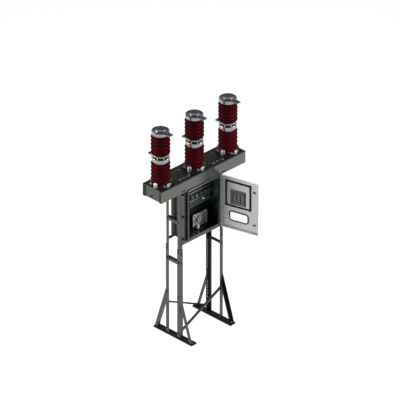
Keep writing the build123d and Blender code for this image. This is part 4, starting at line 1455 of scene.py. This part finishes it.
class BREAKER_OT_stage(bpy.types.Operator):
    """Set the floor, the studio light and the camera"""

    bl_idname = "breaker.stage"
    bl_label = "Stage"

    def execute(self, context):
        scene = context.scene
        scene.view_settings.view_transform = "Standard"
        select_none()
        bpy.ops.mesh.primitive_plane_add(size=240.0, location=(0, 0, -0.0005))
        floor = bpy.context.active_object
        floor.name = "studio_floor"
        floor.data.materials.append(self.floor_paint())
        floor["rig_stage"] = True
        self.light_world(scene)
        middle = Vector((0.0, 0.0, (cad_box[0].z + cad_box[1].z) / 2))
        distance = 7.0
        # Name, direction, size in metres, power in watts, and whether metal mirrors it.
        for name, direction, size, power, mirrored in (
            ("left_softbox", (-0.7, 0.62, 0.35), 3.0, 880.0, False),
            ("right_softbox", (0.62, -0.7, 0.35), 3.0, 1150.0, False),
            ("door_softbox", (-1.0, 0.15, 0.1), 3.0, 222.0, False),
            ("left_sparkle", (-0.56, 0.56, 0.6), 2.6, 140.0, True),
            ("right_sparkle", (0.56, -0.56, 0.6), 2.2, 100.0, True),
        ):
            light = bpy.data.lights.new(name, "AREA")
            light.shape = "SQUARE"
            light.size = size
            light.energy = power
            lamp = bpy.data.objects.new(name, light)
            scene.collection.objects.link(lamp)
            away = Vector(direction).normalized()
            lamp.location = middle + away * distance
            lamp.rotation_euler = away.to_track_quat("Z", "Y").to_euler()
            lamp.visible_camera = False
            lamp.visible_glossy = mirrored
        camera = bpy.data.cameras.new("studio_camera")
        # A very long lens, in millimetres, shows the object almost without perspective.
        camera.lens = 500.0
        camera.sensor_width = 36.0
        camera.clip_end = 1000.0
        viewer = bpy.data.objects.new("studio_camera", camera)
        scene.collection.objects.link(viewer)
        azimuth, elevation = math.radians(-45.0), math.radians(30.0)
        level = math.cos(elevation)
        back = Vector((math.sin(azimuth) * level, -math.cos(azimuth) * level, math.sin(elevation)))
        frame_width = 5.76
        target = Vector((0.057, -0.057, 2.106))
        viewer.location = target + back * (frame_width * camera.lens / camera.sensor_width)
        viewer.rotation_mode = "QUATERNION"
        viewer.rotation_quaternion = (-back).to_track_quat("-Z", "Y")
        scene.camera = viewer
        return {"FINISHED"}

    def floor_paint(self):
        """Pale floor that shows white to the eye and in metal, and keeps a faint shadow."""
        material = bpy.data.materials.new("studio_floor_paint")
        material.use_nodes = True
        tree = material.node_tree
        surface = tree.nodes["Principled BSDF"]
        for socket, value in (
            ("Base Color", (0.1, 0.1, 0.1, 1.0)),
            ("Roughness", 0.9),
            ("Specular IOR Level", 0.0),
            ("Emission Color", (1.0, 1.0, 1.0, 1.0)),
        ):
            surface.inputs[socket].default_value = value
        seen = either_ray(tree, "Is Camera Ray", "Is Glossy Ray", "Is Transmission Ray")
        glow = add_node(tree, "ShaderNodeMath", {1: 0.96}, {0: seen}, operation="MULTIPLY")
        tree.links.new(glow.outputs[0], surface.inputs["Emission Strength"])
        return material

    def light_world(self, scene):
        """White round the object to the eye, a dimmer ceiling in metal, and soft light all over."""
        world = bpy.data.worlds.new("studio_world")
        scene.world = world
        world.use_nodes = True
        tree = world.node_tree
        tree.nodes.clear()
        direction = add_node(tree, "ShaderNodeTexCoord").outputs["Generated"]
        height = add_node(tree, "ShaderNodeSeparateXYZ", links={"Vector": direction}).outputs["Z"]
        dome = add_node(tree, "ShaderNodeValToRGB", links={"Fac": height})
        set_ramp(dome, (0.1, (1.0, 1.0, 1.0, 1.0)), (0.42, (0.13, 0.13, 0.14, 1.0)))
        white = add_node(tree, "ShaderNodeBackground", {"Color": (1, 1, 1, 1), "Strength": 1.0})
        mirrored, soft = (
            add_node(
                tree,
                "ShaderNodeBackground",
                {"Strength": strength},
                {"Color": dome.outputs["Color"]},
            ).outputs[0]
            for strength in (1.0, 0.38)
        )
        glossy = either_ray(tree, "Is Glossy Ray")
        lit = add_node(tree, "ShaderNodeMixShader", links={0: glossy, 1: soft, 2: mirrored})
        eye = either_ray(tree, "Is Camera Ray", "Is Transmission Ray")
        sources = {0: eye, 1: lit.outputs[0], 2: white.outputs[0]}
        shown = add_node(tree, "ShaderNodeMixShader", links=sources)
        add_node(tree, "ShaderNodeOutputWorld", links={"Surface": shown.outputs[0]})


def either_ray(tree, *kinds):
    """One for a ray of any of the kinds, and otherwise nothing."""
    path = add_node(tree, "ShaderNodeLightPath")
    found = path.outputs[kinds[0]]
    for kind in kinds[1:]:
        pair = {0: found, 1: path.outputs[kind]}
        found = add_node(tree, "ShaderNodeMath", links=pair, operation="MAXIMUM").outputs[0]
    return found


class BREAKER_PT_pieces(bpy.types.Panel):
    """The breaker's pieces, sizes and colours"""

    bl_idname = "BREAKER_PT_pieces"
    bl_label = "Gas Insulated Breaker"
    bl_space_type = "VIEW_3D"
    bl_region_type = "UI"
    bl_category = "Breaker"

    def draw(self, context):
        for group in (context.scene.breaker_sizes, context.scene.breaker_colours):
            column = self.layout.column()
            for name in group.__annotations__:
                column.prop(group, name)
        column = self.layout.column()
        for operator in OPERATORS:
            column.operator(operator.bl_idname)


OPERATORS = (
    BREAKER_OT_finishes,
    BREAKER_OT_insulators,
    BREAKER_OT_pole_bases,
    BREAKER_OT_castings,
    BREAKER_OT_beam_fittings,
    BREAKER_OT_stand,
    BREAKER_OT_cabinet,
    BREAKER_OT_mechanism,
    BREAKER_OT_door,
    BREAKER_OT_stage,
)
CLASSES = (BreakerSizes, BreakerColours) + OPERATORS + (BREAKER_PT_pieces,)


def register():
    for kind in CLASSES:
        bpy.utils.register_class(kind)
    bpy.types.Scene.breaker_sizes = PointerProperty(type=BreakerSizes)
    bpy.types.Scene.breaker_colours = PointerProperty(type=BreakerColours)


def unregister():
    del bpy.types.Scene.breaker_colours
    del bpy.types.Scene.breaker_sizes
    for kind in reversed(CLASSES):
        bpy.utils.unregister_class(kind)


def main():
    register()
    bpy.ops.breaker.finishes()
    bpy.ops.breaker.insulators()
    bpy.ops.breaker.pole_bases()
    bpy.ops.breaker.castings()
    bpy.ops.breaker.beam_fittings()
    bpy.ops.breaker.stand()
    bpy.ops.breaker.cabinet()
    bpy.ops.breaker.mechanism()
    bpy.ops.breaker.door()
    bpy.ops.breaker.stage()
    sizes = {"cad": cad_box, "visual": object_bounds()}
    plain = {name: [list(corner) for corner in corners] for name, corners in sizes.items()}


if __name__ == "__main__":
    main()
